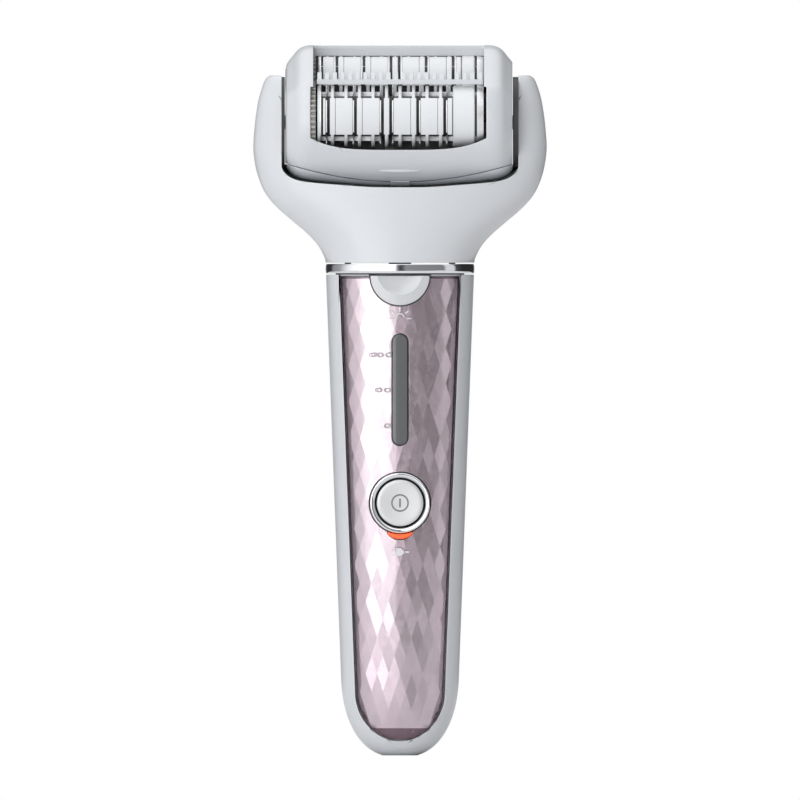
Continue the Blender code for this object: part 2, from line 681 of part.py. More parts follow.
def make_input_shaft(parent):
    """The shaft that takes the motor's turn up through the saddle into the head."""
    origin = (0.0, 0.0, YOKE_BOTTOM)
    empty = joint_empty("input_axis", origin, parent)
    shaft = turned([(124.6, 3.3), (128.7, 3.3), (128.7, 1.2), (148.1, 1.2)], "z", (0.0, 0.0), 20)
    for near, far in ((-3.5, -1.3), (1.3, 3.5)):
        cut(shaft, box((near, -1.6, 124.0), (far, 1.6, 126.0)))
    teeth = gear_outline((0.0, 0.0), INPUT_TEETH, CROWN_MODULE, 0.0, 0.25)
    finish("input_shaft", join(shaft, prism(teeth, "z", 147.9, 150.7)), "nylon", origin, empty)


# ---- Head --------------------------------------------------------------------------------------
def outline_reach(outline, angle):
    """Distance from the origin to an outline in the direction of angle."""
    ray_a, ray_b = cos(angle), sin(angle)
    reach = 0.0
    for (a0, b0), (a1, b1) in zip(outline, outline[1:]):
        edge_a, edge_b = a1 - a0, b1 - b0
        spread = ray_a * edge_b - ray_b * edge_a
        if abs(spread) > 1e-9:
            share = (ray_b * a0 - ray_a * b0) / spread
            distance = (a0 * edge_b - b0 * edge_a) / spread
            if -1e-6 <= share <= 1 + 1e-6 and distance > 0:
                reach = max(reach, distance)
    return reach


def head_station(x):
    """Shares of the barrel's radius and of the crown's height at a place along the head."""
    for (x0, low0, top0), (x1, low1, top1) in zip(HEAD_STATIONS, HEAD_STATIONS[1:]):
        if x <= x1:
            t = (x - x0) / (x1 - x0)
            return low0 + t * (low1 - low0), top0 + t * (top1 - top0)
    return HEAD_STATIONS[-1][1:]


def head_ring(x, inset):
    low_share, top_share = head_station(abs(x))
    ring = []
    for k in range(HEAD_SIDES):
        angle = 2 * pi * (k + 0.5) / HEAD_SIDES
        if sin(angle) < 0:
            reach = BARREL_RADIUS * (top_share + (low_share - top_share) * sin(angle) ** 2)
        else:
            reach = outline_reach(CROWN, angle) * top_share
        ring.append((x, (reach - inset) * cos(angle), PIVOT_Z + (reach - inset) * sin(angle)))
    return ring


def head_solid(inset=0.0, left=HEAD_LEFT, right=HEAD_RIGHT):
    steps = [s[0] for s in HEAD_STATIONS[1:]]
    places = [left] + [-x for x in reversed(steps) if -x > left + 0.3] + [0.0]
    places += [x for x in steps if x < right - 0.3] + [right]
    return loft([head_ring(x, inset) for x in places])


def seam_cutter(above, shift):
    """Everything above, or below, the curved seam between the head's base and its frame."""
    line = []
    for k in range(-8, 9):
        x = k * 4.0
        line.append((x, PIVOT_Z - SEAM_DROP + SEAM_RISE * (x / SEAM_REACH) ** 2 + shift))
    far = 220.0 if above else 100.0
    return prism(line + [(32.0, far), (-32.0, far)], "y", -40.0, 40.0)


def drive_place():
    reach = TOOTH_MODULE * (DRUM_TEETH + DRIVE_TEETH) / 2
    return (FRONT_DRUM[0] + (reach ** 2 - DRIVE_DROP ** 2) ** 0.5, FRONT_DRUM[1] - DRIVE_DROP)


def rear_drum_place():
    across = (DRUM_SPACING ** 2 - REAR_DRUM_LIFT ** 2) ** 0.5
    return (FRONT_DRUM[0] + across, FRONT_DRUM[1] + REAR_DRUM_LIFT)


def make_head_base(empty, origin):
    tray = head_solid()
    cut(tray, head_solid(1.6, HEAD_LEFT + 1.4, HEAD_RIGHT - 1.4))
    cut(tray, seam_cutter(True, -GAP / 2))
    for side in (-1, 1):
        near, far = sorted((side * 25.7, side * 26.8))
        cheek = [(-4.5, 147.6), (4.5, 147.6), (4.5, PIVOT_Z + 2), (2.5, PIVOT_Z + 4),
                 (-2.5, PIVOT_Z + 4), (-4.5, PIVOT_Z + 2)]
        plate = prism(cheek, "x", near, far)
        join(tray, plate)
    bore = PIN_RADIUS + GAP
    cut(tray, turned([(-35.0, bore), (35.0, bore)], "x", (0.0, PIVOT_Z), 20))
    drive_y, drive_z = drive_place()
    cradle = box((-8.6, drive_y - 1.9, 145.2), (-7.0, drive_y + 2.6, drive_z + 0.4))
    cut(cradle, turned([(-9.0, 1.5), (-6.5, 1.5)], "x", (drive_y, drive_z), 16))
    cut(cradle, box((-9.0, drive_y - 1.5, drive_z), (-6.5, drive_y + 1.5, drive_z + 3)))
    join(tray, cradle)
    bridge = box((-5.2, -6.4, 147.6), (5.2, 6.4, 148.8))
    for side in (-1, 1):
        near, far = sorted((side * 3.0, side * 5.2))
        join(bridge, box((near, -4.0, 144.9), (far, 4.0, 148.2)))
    cut(bridge, box((-2.5, -5.5, 146.0), (2.5, 5.5, 150.0)))
    join(tray, bridge)
    cut(tray, box((-1.6, -5.9, 140.0), (1.6, 5.9, 147.0)))
    finish("head_base", tray, "white", origin, empty)


def lower_window():
    left, right, low, high = LOWER_WINDOW
    middle, reach = (left + right) / 2, (right - left) / 2
    lower = []
    for k in range(-6, 7):
        share = k / 6
        lower.append((middle + reach * share, low + LOWER_WINDOW_CORNER * abs(share) ** 4))
    return lower + [(right, high), (left, high)]


def make_skin_frame(empty, origin):
    frame = head_solid()
    cut(frame, head_solid(HEAD_WALL, HEAD_LEFT + 1.4, HEAD_RIGHT - 1.4))
    cut(frame, seam_cutter(False, GAP / 2))
    cut(frame, box((-27.0, -5.2, 140.0), (27.0, 5.2, 148.6)))
    cut(frame, prism(lower_window(), "y", -30.0, -1.0))
    left, right, low, back = UPPER_WINDOW
    cut(frame, box((left, -30.0, low), (right, back, 200.0)))
    bar_front, bar_rear, bar_low, bar_high = TOP_BAR
    join(frame, box((left - 1.0, bar_front, bar_low), (right + 1.0, bar_rear, bar_high)))
    hole = PIN_RADIUS + GAP + 0.2
    cut(frame, turned([(-35.0, hole), (35.0, hole)], "x", (0.0, PIVOT_Z), 20))
    join(frame, box((-5.4, -11.4, 147.8), (5.4, -9.4, 148.7)))
    finish("skin_frame", frame, "white", origin, empty)


def make_comb_bar(empty, origin):
    """The bar between the drums, with teeth that lift the hairs."""
    left, right, front, rear, low, high = COMB
    bar = box((left, front, low), (right, rear, high))
    outline = [(front + 0.2, high - 0.2), (rear - 0.1, high - 0.2), (rear + 1.2, high + 1.8),
               (rear + 0.5, high + 1.8)]
    for k in range(COMB_TEETH):
        x = left + 0.7 + (right - left - 1.4) * k / (COMB_TEETH - 1)
        join(bar, prism(outline, "x", x - 0.35, x + 0.35))
    finish("comb_bar", bar, "white", origin, empty)


def make_bearing_plates(empty, origin):
    rear = rear_drum_place()
    drive = drive_place()
    outline = [(-4.8, 148.9), (3.5, 148.9), (6.0, 153.0), (10.8, 165.5), (10.6, 171.4),
               (7.2, 173.9), (2.6, 172.4), (-10.2, 165.6), (-11.6, 161.0), (-9.4, 155.0)]
    for name, low, high in (("bearing_plate_left", -24.6, -23.3),
                            ("bearing_plate_right", 22.3, 23.6)):
        plate = prism(outline, "x", low, high)
        for at, radius in ((FRONT_DRUM, 1.8), (rear, 1.8), (drive, 1.5)):
            cut(plate, turned([(low - 1, radius), (high + 1, radius)], "x", at, 16))
        finish(name, plate, "grey", origin, empty)


def make_drive_shaft(parent):
    at = drive_place()
    origin = (0.0, at[0], at[1])
    empty = joint_empty("drive_axis", origin, parent)
    shaft = turned([(-25.2, 1.2), (-3.0, 1.2)], "x", at, 16)
    low, high = GEAR_X
    phase = drive_phase()
    pinion = gear_outline(at, DRIVE_TEETH, TOOTH_MODULE, phase, 0.3)
    join(shaft, prism(pinion, "x", low, high))
    crown = gear_outline(at, CROWN_TEETH, CROWN_MODULE, 0.0, 0.25)
    join(shaft, prism(crown, "x", -3.8, -2.1))
    finish("drive_shaft", shaft, "nylon", origin, empty)


def drive_phase():
    """Turn of the drive pinion that puts a tooth gap against the front drum's tooth."""
    at = drive_place()
    towards = atan2(FRONT_DRUM[1] - at[1], FRONT_DRUM[0] - at[0])
    pitch = 2 * pi / DRUM_TEETH
    facing = (towards + pi) % pitch
    return towards + pi / DRIVE_TEETH + facing * DRUM_TEETH / DRIVE_TEETH


def rear_phase():
    """Turn of the rear drum's gear that meshes it with the front drum's."""
    rear = rear_drum_place()
    towards = atan2(FRONT_DRUM[1] - rear[1], FRONT_DRUM[0] - rear[0])
    pitch = 2 * pi / DRUM_TEETH
    facing = (towards + pi) % pitch
    return towards + pitch / 2 + facing


def gear_outline(centre, teeth, module, phase, tip):
    """A gear's outline: blunt teeth about the pitch circle, the first at the given phase."""
    pitch_radius = teeth * module / 2
    outline = []
    for k in range(teeth):
        middle = phase + 2 * pi * k / teeth
        for radius, share in ((pitch_radius - 2.6 * tip, -0.5), (pitch_radius + tip, -0.1),
                              (pitch_radius + tip, 0.1)):
            angle = middle + share * 2 * pi / teeth
            outline.append((centre[0] + radius * cos(angle), centre[1] + radius * sin(angle)))
    return outline


# ---- Drums -------------------------------------------------------------------------------------
def make_drum(prefix, at, middle, row, phase, block, parent):
    """One tweezer drum: a core with fixed discs, its gear, and two sets of sliding tweezers.

    Four rows of tweezers run along the drum. The left set closes on the discs from the left end to
    the middle disc, and the right set on those from the right end to it.
    """
    origin = (0.0, at[0], at[1])
    drum = joint_empty(prefix + "_drum_axis", origin, parent)
    discs = [middle + DISC_PITCH * k for k in range(-DISC_REACH, DISC_REACH + 1)]
    profile = [(-25.2, 1.5), (-21.0, 1.5), (-21.0, CORE_RADIUS)]
    for x in discs:
        profile += [(x - 0.5, CORE_RADIUS), (x - 0.5, DRUM_RADIUS), (x + 0.5, DRUM_RADIUS),
                    (x + 0.5, CORE_RADIUS)]
    low, high = block
    profile += [(low, CORE_RADIUS), (low, DRUM_RADIUS - 0.1), (high, DRUM_RADIUS - 0.1),
                (high, CORE_RADIUS), (21.0, CORE_RADIUS), (21.0, 1.5), (24.2, 1.5)]
    core = turned(profile, "x", at, DRUM_SIDES)
    rows = [row + quarter * pi / 2 for quarter in range(4)]
    for turn in rows:
        cut(core, bar_solid(at, turn, -24.0, 24.0, 3.9, 9.0, 1.1))
    finish(prefix + "_drum_core", core, "grey", origin, drum)

    low, high = GEAR_X
    gear = prism(gear_outline(at, DRUM_TEETH, TOOTH_MODULE, phase, 0.3), "x", low, high)
    cut(gear, turned([(low - 1, 1.8), (high + 1, 1.8)], "x", at, 16))
    finish(prefix + "_drum_gear", gear, "nylon", origin, drum)

    for name, side in (("left", -1), ("right", 1)):
        empty = joint_empty(prefix + "_tweezers_" + name + "_axis", origin, drum)
        end = side * END_RING_X
        low, high = sorted((end, end - side * 0.7))
        ring = turned_ring(CORE_RADIUS + GAP, DRUM_RADIUS - 0.1, low, high, "x", at, DRUM_SIDES)
        bar = sorted((end - side * 0.3, middle + side * BLADE_GAP))
        for turn in rows:
            join(ring, bar_solid(at, turn, *bar, 4.3, 6.2, 0.8))
            for k in range(DISC_REACH + 1):
                near = middle + side * (DISC_PITCH * k + BLADE_GAP)
                join(ring, blade_solid(at, turn, *sorted((near, near + side * BLADE))))
        finish(prefix + "_tweezers_" + name, ring, "steel", origin, empty)


def bar_solid(at, turn, low, high, inner, outer, half):
    """A bar along the drum at a turn about its axis, between two radii."""
    c, s = cos(turn), sin(turn)
    corners = ((inner, -half), (outer, -half), (outer, half), (inner, half))
    outline = [(at[0] + c * r - s * w, at[1] + s * r + c * w) for r, w in corners]
    return prism(outline, "x", low, high)


def blade_solid(at, turn, low, high):
    """One tweezer blade: a sector of a disc on its bar."""
    spread = radians(28)
    inner, outer = (CORE_RADIUS + GAP) / cos(spread), DRUM_RADIUS
    corners = ((outer, -spread), (outer, spread), (inner, spread), (inner, -spread))
    outline = [(at[0] + r * cos(turn + lean), at[1] + r * sin(turn + lean)) for r, lean in corners]
    return prism(outline, "x", low, high)


# ---- Assembly ----------------------------------------------------------------------------------
def main():
    for old in list(bpy.data.objects):
        bpy.data.objects.remove(old)
    make_handle_shells()
    make_panel()
    make_panel_inserts()
    make_power_button()
    make_electronics()
    make_battery()
    make_chassis()
    make_motor()
    make_inlet()
    make_release()
    make_neck()

    yoke_origin = (0.0, 0.0, YOKE_BOTTOM)
    yoke = joint_empty("head_unit_axis", yoke_origin)
    make_yoke(yoke, yoke_origin)
    make_input_shaft(yoke)

    head_origin = (0.0, 0.0, PIVOT_Z)
    head = joint_empty("head_swing_axis", head_origin, yoke)
    make_head_base(head, head_origin)
    make_skin_frame(head, head_origin)
    make_comb_bar(head, head_origin)
    make_bearing_plates(head, head_origin)
    make_drive_shaft(head)
    make_drum("front", FRONT_DRUM, FRONT_MIDDLE, FRONT_ROW, 0.0, FRONT_BLOCK, head)
    make_drum("rear", rear_drum_place(), REAR_MIDDLE, REAR_ROW, rear_phase(), REAR_BLOCK, head)


main()
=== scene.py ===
"""The finished look of the epilator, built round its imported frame.

The frame is the handle's own: +Z runs along the handle to the head and the front faces -Y. Lengths
are millimetres, turned into metres by MM as each mesh is made.
"""

from contextlib import contextmanager
from math import asin, atan2, cos, hypot, pi, radians, sin

import bmesh
import bpy
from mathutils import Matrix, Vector


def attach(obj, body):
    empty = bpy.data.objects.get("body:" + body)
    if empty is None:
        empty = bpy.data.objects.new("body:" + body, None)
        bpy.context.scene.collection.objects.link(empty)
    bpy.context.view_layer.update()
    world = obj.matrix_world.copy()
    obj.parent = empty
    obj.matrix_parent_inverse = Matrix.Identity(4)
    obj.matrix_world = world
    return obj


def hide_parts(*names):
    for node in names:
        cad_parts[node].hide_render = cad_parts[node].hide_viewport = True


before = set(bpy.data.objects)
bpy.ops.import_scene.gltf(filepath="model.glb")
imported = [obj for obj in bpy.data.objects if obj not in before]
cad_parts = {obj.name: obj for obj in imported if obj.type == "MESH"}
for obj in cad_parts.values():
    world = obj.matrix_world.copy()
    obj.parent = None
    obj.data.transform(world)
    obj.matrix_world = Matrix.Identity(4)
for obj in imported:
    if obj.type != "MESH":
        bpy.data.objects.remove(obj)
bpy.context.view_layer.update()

MM = 0.001
GAP = 0.3                      # running gap between neighbouring pieces
MERGE = 1e-6                   # metres: corners this close are one corner

# ---- Handle ----
HANDLE_SIDES = 96
HANDLE_TOP = 121.9
BASE_HALF_WIDTH = 14.2
WIDTH_TAPER = 0.0375
FRONT_DEPTH = 11.0
FRONT_TAPER = 0.030
REAR_DEPTH = 12.5
DOME_HEIGHT = 20.0
SECTION_POWER = 2.35
WALL = 1.8
FRONT_WALL = 3.6
SPLIT_Y = 2.0
REST_Y = 12.2                  # the flat strip on the back
REST_Z = (20.0, 105.0)
INLET_HALF = (3.6, 2.4)        # half sizes of the charging inlet and of its opening
INLET_HOLE = (2.7, 1.6)
RELEASE_Z = 115.4              # head release button: middle, half height and half length
RELEASE_HALF = 3.0
RELEASE_REACH = 5.6
FAR_FRONT = -25.0              # cutters through the front wall start here

# ---- Panel and what sits in it ----
PANEL_HALF_WIDTH = 10.77
PANEL_TAPER = 0.038
PANEL_BOTTOM = 3.6
PANEL_TOP = 121.6
PANEL_ROUND = 12.0
COVER_THICKNESS = 1.0
PANEL_RECESS = 2.3
FACET_HALF_WIDTH = 1.45        # half of one lozenge across the panel
FACET_HALF_LENGTH = 4.6        # half of one lozenge along the panel
FACET_BOTTOM = 6.9             # the lozenges end at a straight line here
FOIL_BODY = 2.4                # how far the sheet of lozenges is drawn out to the rear
FACET_COLUMNS = 11             # columns of corners to each side of the middle
BUTTON_Z = 64.0
BEZEL_RADIUS = 7.65
BUTTON_RADIUS = 5.9
WINDOW_Z = (78.7, 106.7)
WINDOW_HALF_WIDTH = 1.87
LIGHT_RADIUS = 7.5
CHARGE_HALF_WIDTH = 3.1
CHARGE_BOTTOM = 54.9
ICON_LINE = 0.28

# ---- Yoke and neck ----
RING_Z = (122.2, 124.6)
PIVOT_Z = 160.5
PIVOT = (0.0, PIVOT_Z)
PIN_RADIUS = 1.8
ARM_INNER = 30.0
SADDLE_DEPTH = 16.5
SADDLE_GAP = 0.45
SADDLE_STEP_Y = 7.5            # behind this the saddle is higher, so the gap can't be seen through
SADDLE_STEP = 0.9
WASHER_RADIUS = 11.5
SHUTTER_RADII = (16.14, 16.38)  # the plate lies in the gap between the head and the saddle
# height, half width, front depth, rear depth
YOKE_SECTIONS = (
    (124.9, 18.9, 14.5, 12.4), (126.1, 19.1, 14.5, 12.5), (129.2, 20.7, 14.4, 12.6),
    (132.2, 23.4, 14.2, 12.8), (135.3, 27.0, 13.9, 12.8), (138.3, 30.5, 13.6, 12.8),
    (141.3, 33.3, 13.3, 12.7), (144.4, 35.1, 12.9, 12.5), (148.6, 36.5, 12.4, 12.1),
    (153.5, 37.2, 11.7, 11.5), (158.0, 37.0, 11.1, 11.0), (162.6, 36.5, 10.4, 10.4),
    (166.6, 35.8, 9.6, 9.6), (169.6, 34.9, 8.7, 8.7), (171.6, 34.0, 7.7, 7.7),
    (172.4, 32.8, 6.8, 6.8),
)

# ---- Head ----
HEAD_LEFT = -29.1
HEAD_RIGHT = 28.5
HEAD_SIDES = 112
HEAD_WALL = 1.0
BARREL_RADIUS = SADDLE_DEPTH - SADDLE_GAP
# distance along the pivot from the head's middle, share of the barrel's radius, share of the top
HEAD_STATIONS = (
    (0.0, 1.0, 1.0), (7.1, 0.994, 1.0), (12.9, 0.969, 1.0), (19.8, 0.935, 1.0),
    (23.3, 0.909, 1.0), (25.6, 0.877, 0.955), (27.4, 0.820, 0.850), (28.6, 0.740, 0.770),
    (29.0, 0.680, 0.690),
)
# upper outline of the head seen along the pivot, from the front round to the rear
CROWN = ((-16.05, 0.0), (-15.9, 6.0), (-15.2, 8.6), (-13.6, 10.2), (-1.0, 17.8), (2.5, 19.0),
         (5.0, 19.4), (11.6, 19.4), (14.4, 18.2), (15.9, 15.4), (16.6, 9.0), (16.05, 0.0))
SEAM_DROP = 15.1               # the seam's lowest point below the pivot, its rise and its reach
SEAM_RISE = 4.4
SEAM_REACH = 28.3
LOWER_WINDOW = (-22.7, 21.9, 153.5, 169.5)
LOWER_WINDOW_CORNER = 3.0
UPPER_WINDOW = (-22.0, 21.3, 169.2, 10.6)
TOP_BAR = (10.4, 11.6, 177.3, 179.5)   # front and back face, lower and upper edge
COMB = (-21.1, 21.0, -11.9, -10.4, 170.1, 171.4)
COMB_TEETH = 22

# ---- Drums ----
FRONT_DRUM = (-7.9, 162.0)
DRUM_SPACING = 16.4
REAR_DRUM_LIFT = 7.4
DRUM_TEETH = 38
GEAR_X = (-22.6, -21.4)
SLOT_QUARTERS = (1, 3)          # quarter turns from a row of tweezers to the two bar slots
BLOCK_START = -19.5
DISC_PITCH = 6.85
DISC_COUNT = 3                 # fixed discs that each set of tweezers closes on
FRONT_MIDDLE = -3.4            # the disc that both sets share
REAR_MIDDLE = -1.25
FRONT_ROW = pi                 # direction in which a row of tweezers faces
REAR_ROW = radians(141)
ROW_SPREAD = 36                # degrees that a block reaches to each side of its row
END_RING_X = 20.7
DISC_HALF = 0.75               # half width of a disc where it meets the tweezers
BLADE_GAP = 0.65               # open gap between a disc and the blade that closes on it
DISC_ROOM = 1.79               # from a disc's middle to the next block behind the blade


# ---- Solids ----
@contextmanager
def editing(mesh):
    """The mesh opened for editing, and written back at the end."""
    bm = bmesh.new()
    bm.from_mesh(mesh)
    yield bm
    bm.to_mesh(mesh)
    bm.free()


def raw_mesh(points, faces):
    """A mesh from millimetre points."""
    mesh = bpy.data.meshes.new("shape")
    mesh.from_pydata([tuple(c * MM for c in p) for p in points], [], faces)
    return mesh


def new_object(mesh):
    shape = bpy.data.objects.new("shape", mesh)
    bpy.context.scene.collection.objects.link(shape)
    return shape


def solid(points, faces):
    """A closed mesh from millimetre points, with its faces turned outwards."""
    mesh = raw_mesh(points, faces)
    with editing(mesh) as bm:
        bmesh.ops.remove_doubles(bm, verts=bm.verts, dist=MERGE)
        bmesh.ops.recalc_face_normals(bm, faces=bm.faces)
    return new_object(mesh)


def loft_faces(rings, count, closed=False):
    """Four-sided faces between neighbouring rings of count points each."""
    last = rings if closed else rings - 1
    return [[r * count + k, r * count + (k + 1) % count,
             (r + 1) % rings * count + (k + 1) % count, (r + 1) % rings * count + k]
            for r in range(last) for k in range(count)]


def loft(rings):
    """A solid through rings of equal point counts, capped at both ends."""
    count = len(rings[0])
    faces = loft_faces(len(rings), count)
    faces.append(list(range(count)))
    faces.append([(len(rings) - 1) * count + k for k in range(count)])
    return solid([p for ring in rings for p in ring], faces)


def closed_loft(rings):
    """A ring-shaped solid: the last ring of points joins the first."""
    return solid([p for ring in rings for p in ring],
                 loft_faces(len(rings), len(rings[0]), closed=True))


def place(axis, along, a, b):
    """A point from its distance along an axis and its two other coordinates, in x, y, z order."""
    if axis == "x":
        return (along, a, b)
    if axis == "y":
        return (a, along, b)
    return (a, b, along)


def prism(outline, axis, low, high):
    """A flat outline drawn out along an axis."""
    return loft([[place(axis, end, a, b) for a, b in outline] for end in (low, high)])


def through_front(outline, end=-3.0):
    """A cutter with an outline in the front view, from well in front of the handle back to end."""
    return prism(outline, "y", FAR_FRONT, end)


def box(low, high):
    outline = [(low[0], low[1]), (high[0], low[1]), (high[0], high[1]), (low[0], high[1])]
    return prism(outline, "z", low[2], high[2])


def circle(centre, radius, sides, first=0.0):
    return [(centre[0] + radius * cos(first + 2 * pi * k / sides),
             centre[1] + radius * sin(first + 2 * pi * k / sides)) for k in range(sides)]


def turned(profile, axis, centre, sides=64):
    """A turned solid: profile holds (distance along the axis, radius) from one end to the other."""
    return loft([[place(axis, along, a, b) for a, b in circle(centre, radius, sides)]
                 for along, radius in profile])


def rod(axis, low, high, radius, centre=PIVOT, sides=64):
    return turned([(low, radius), (high, radius)], axis, centre, sides)


def turned_ring(profile, axis, centre, sides=96):
    """A turned ring: profile is a closed outline of (distance along the axis, radius)."""
    return closed_loft([[place(axis, along, a, b) for a, b in circle(centre, radius, sides)]
                        for along, radius in profile])


def together(shapes):
    """One object from several that don't touch."""
    bm = bmesh.new()
    for shape in shapes:
        bm.from_mesh(shape.data)
        bpy.data.objects.remove(shape)
    mesh = bpy.data.meshes.new("shape")
    bm.to_mesh(mesh)
    bm.free()
    return new_object(mesh)


def bake(part):
    """Turn a piece's modifiers into its mesh."""
    view = bpy.context.evaluated_depsgraph_get()
    mesh = bpy.data.meshes.new_from_object(part.evaluated_get(view))
    part.modifiers.clear()
    part.data = mesh
    return part


def combine(part, tool, operation):
    modifier = part.modifiers.new("combine", "BOOLEAN")
    modifier.operation = operation
    modifier.solver = "EXACT"
    modifier.object = tool
    bake(part)
    bpy.data.objects.remove(tool)
    with editing(part.data) as bm:
        bmesh.ops.remove_doubles(bm, verts=bm.verts, dist=MERGE)
    return part


def cut(part, *tools):
    for tool in tools:
        combine(part, tool, "DIFFERENCE")
    return part


def join(part, *tools):
    for tool in tools:
        combine(part, tool, "UNION")
    return part


def common(part, tool):
    return combine(part, tool, "INTERSECT")


def curve_through(rows, steps):
    """Rows of numbers between the given rows, on a smooth curve through them."""
    smooth = []
    for k in range(len(rows) - 1):
        before, start = rows[max(k - 1, 0)], rows[k]
        end, after = rows[k + 1], rows[min(k + 2, len(rows) - 1)]
        for step in range(steps):
            t = step / steps
            weights = (-t / 2 + t ** 2 - t ** 3 / 2, 1 - 2.5 * t ** 2 + 1.5 * t ** 3,
                       t / 2 + 2 * t ** 2 - 1.5 * t ** 3, -t ** 2 / 2 + t ** 3 / 2)
            smooth.append(tuple(sum(w * p for w, p in zip(weights, four))
                                for four in zip(before, start, end, after)))
    return smooth + [tuple(rows[-1])]


# ---- Materials ----
def material(name, colour, roughness, metallic=0.0, **sockets):
    """A material with its Principled shader's plain values set."""
    made = bpy.data.materials.new(name)
    made.use_nodes = True
    shader = made.node_tree.nodes["Principled BSDF"]
    shader.inputs["Base Color"].default_value = (*colour, 1.0)
    shader.inputs["Roughness"].default_value = roughness
    shader.inputs["Metallic"].default_value = metallic
    for socket, value in sockets.items():
        shader.inputs[socket.replace("_", " ")].default_value = value
    return made


def add_node(owner, kind, **sockets):
    """A new node in a material or a world, with its inputs' plain values set."""
    node = owner.node_tree.nodes.new("ShaderNode" + kind)
    for socket, value in sockets.items():
        node.inputs[socket.replace("_", " ")].default_value = value
    return node


def noise(made, scale, detail=3.0, stretch=None):
    """A noise pattern in the object's own space; scale is in waves per metre."""
    links = made.node_tree.links
    source = add_node(made, "TexCoord").outputs["Object"]
    if stretch:
        mapping = add_node(made, "Mapping", Scale=stretch)
        links.new(source, mapping.inputs["Vector"])
        source = mapping.outputs["Vector"]
    texture = add_node(made, "TexNoise", Scale=scale, Detail=detail)
    links.new(source, texture.inputs["Vector"])
    return texture.outputs["Fac"]


def spread(made, source, low, high):
    """Stretch a pattern's middle range to run from low to high."""
    ranger = add_node(made, "MapRange", From_Min=0.3, From_Max=0.7, To_Min=low, To_Max=high)
    made.node_tree.links.new(source, ranger.inputs["Value"])
    return ranger.outputs["Result"]


def vary_roughness(made, scale, low, high, stretch=None):
    """Let a material's gloss wander between two roughnesses."""
    shader = made.node_tree.nodes["Principled BSDF"]
    result = spread(made, noise(made, scale, stretch=stretch), low, high)
    made.node_tree.links.new(result, shader.inputs["Roughness"])


def vary_colour(made, scale, first, second, stretch=None):
    """Mottle a material between two colours."""
    nodes, links = made.node_tree.nodes, made.node_tree.links
    blend = add_node(made, "Mix")
    blend.data_type = "RGBA"
    blend.inputs["A"].default_value = (*first, 1.0)
    blend.inputs["B"].default_value = (*second, 1.0)
    links.new(spread(made, noise(made, scale, stretch=stretch), 0.0, 1.0), blend.inputs["Factor"])
    links.new(blend.outputs["Result"], nodes["Principled BSDF"].inputs["Base Color"])


def grain(made, scale, height, stretch=None):
    """A fine relief; height is in millimetres."""
    nodes, links = made.node_tree.nodes, made.node_tree.links
    bump = add_node(made, "Bump", Distance=height * MM, Strength=1.0)
    links.new(noise(made, scale, 2.0, stretch), bump.inputs["Height"])
    links.new(bump.outputs["Normal"], nodes["Principled BSDF"].inputs["Normal"])


def shade(colour, factor):
    """A colour made darker or lighter by a factor."""
    return tuple(c * factor for c in colour)


def plastic(name, colour, roughness, relief=0.0015, **sockets):
    """Moulded plastic: slight mottling, uneven gloss and a fine moulded grain."""
    made = material(name, colour, roughness, **sockets)
    vary_colour(made, 90.0, shade(colour, 0.985), shade(colour, 1.0))
    vary_roughness(made, 420.0, roughness * 0.88, roughness * 1.12)
    grain(made, 900.0, relief * 0.4)
    return made


def metal(name, colour, roughness, stretch=(1.0, 1.0, 1.0)):
    """Drawn or turned metal: fine lines in the gloss and in the colour."""
    made = material(name, colour, roughness, 1.0)
    vary_colour(made, 700.0, shade(colour, 0.94), colour, stretch)
    vary_roughness(made, 900.0, roughness * 0.8, roughness * 1.25, stretch)
    grain(made, 1500.0, 0.0012, stretch)
    return made


def clear_plastic():
    """Clear polished plastic: nearly all see-through, with a gloss that grows towards the edge."""
    made = bpy.data.materials.new("clear_cover")
    made.use_nodes = True
    nodes, links = made.node_tree.nodes, made.node_tree.links
    nodes.remove(nodes["Principled BSDF"])
    through = add_node(made, "BsdfTransparent", Color=(0.98, 0.97, 0.975, 1.0))
    gloss = add_node(made, "BsdfGlossy", Color=(1.0, 1.0, 1.0, 1.0))
    links.new(spread(made, noise(made, 160.0), 0.02, 0.05), gloss.inputs["Roughness"])
    facing = add_node(made, "LayerWeight", Blend=0.5)
    steep = add_node(made, "Math")
    steep.operation = "POWER"
    steep.inputs[1].default_value = 5.0
    links.new(facing.outputs["Facing"], steep.inputs[0])
    share = add_node(made, "Math")
    share.operation = "MULTIPLY_ADD"
    share.inputs[1].default_value = 0.9
    share.inputs[2].default_value = 0.035
    links.new(steep.outputs["Value"], share.inputs[0])
    blend = add_node(made, "MixShader")
    links.new(share.outputs["Value"], blend.inputs["Fac"])
    links.new(through.outputs["BSDF"], blend.inputs[1])
    links.new(gloss.outputs["BSDF"], blend.inputs[2])
    links.new(blend.outputs["Shader"], nodes["Material Output"].inputs["Surface"])
    return made


def lit_plastic(name, colour, strength):
    """Plastic with a light behind it."""
    made = plastic(name, colour, 0.35)
    shader = made.node_tree.nodes["Principled BSDF"]
    shader.inputs["Emission Color"].default_value = (*colour, 1.0)
    shader.inputs["Emission Strength"].default_value = strength
    return made


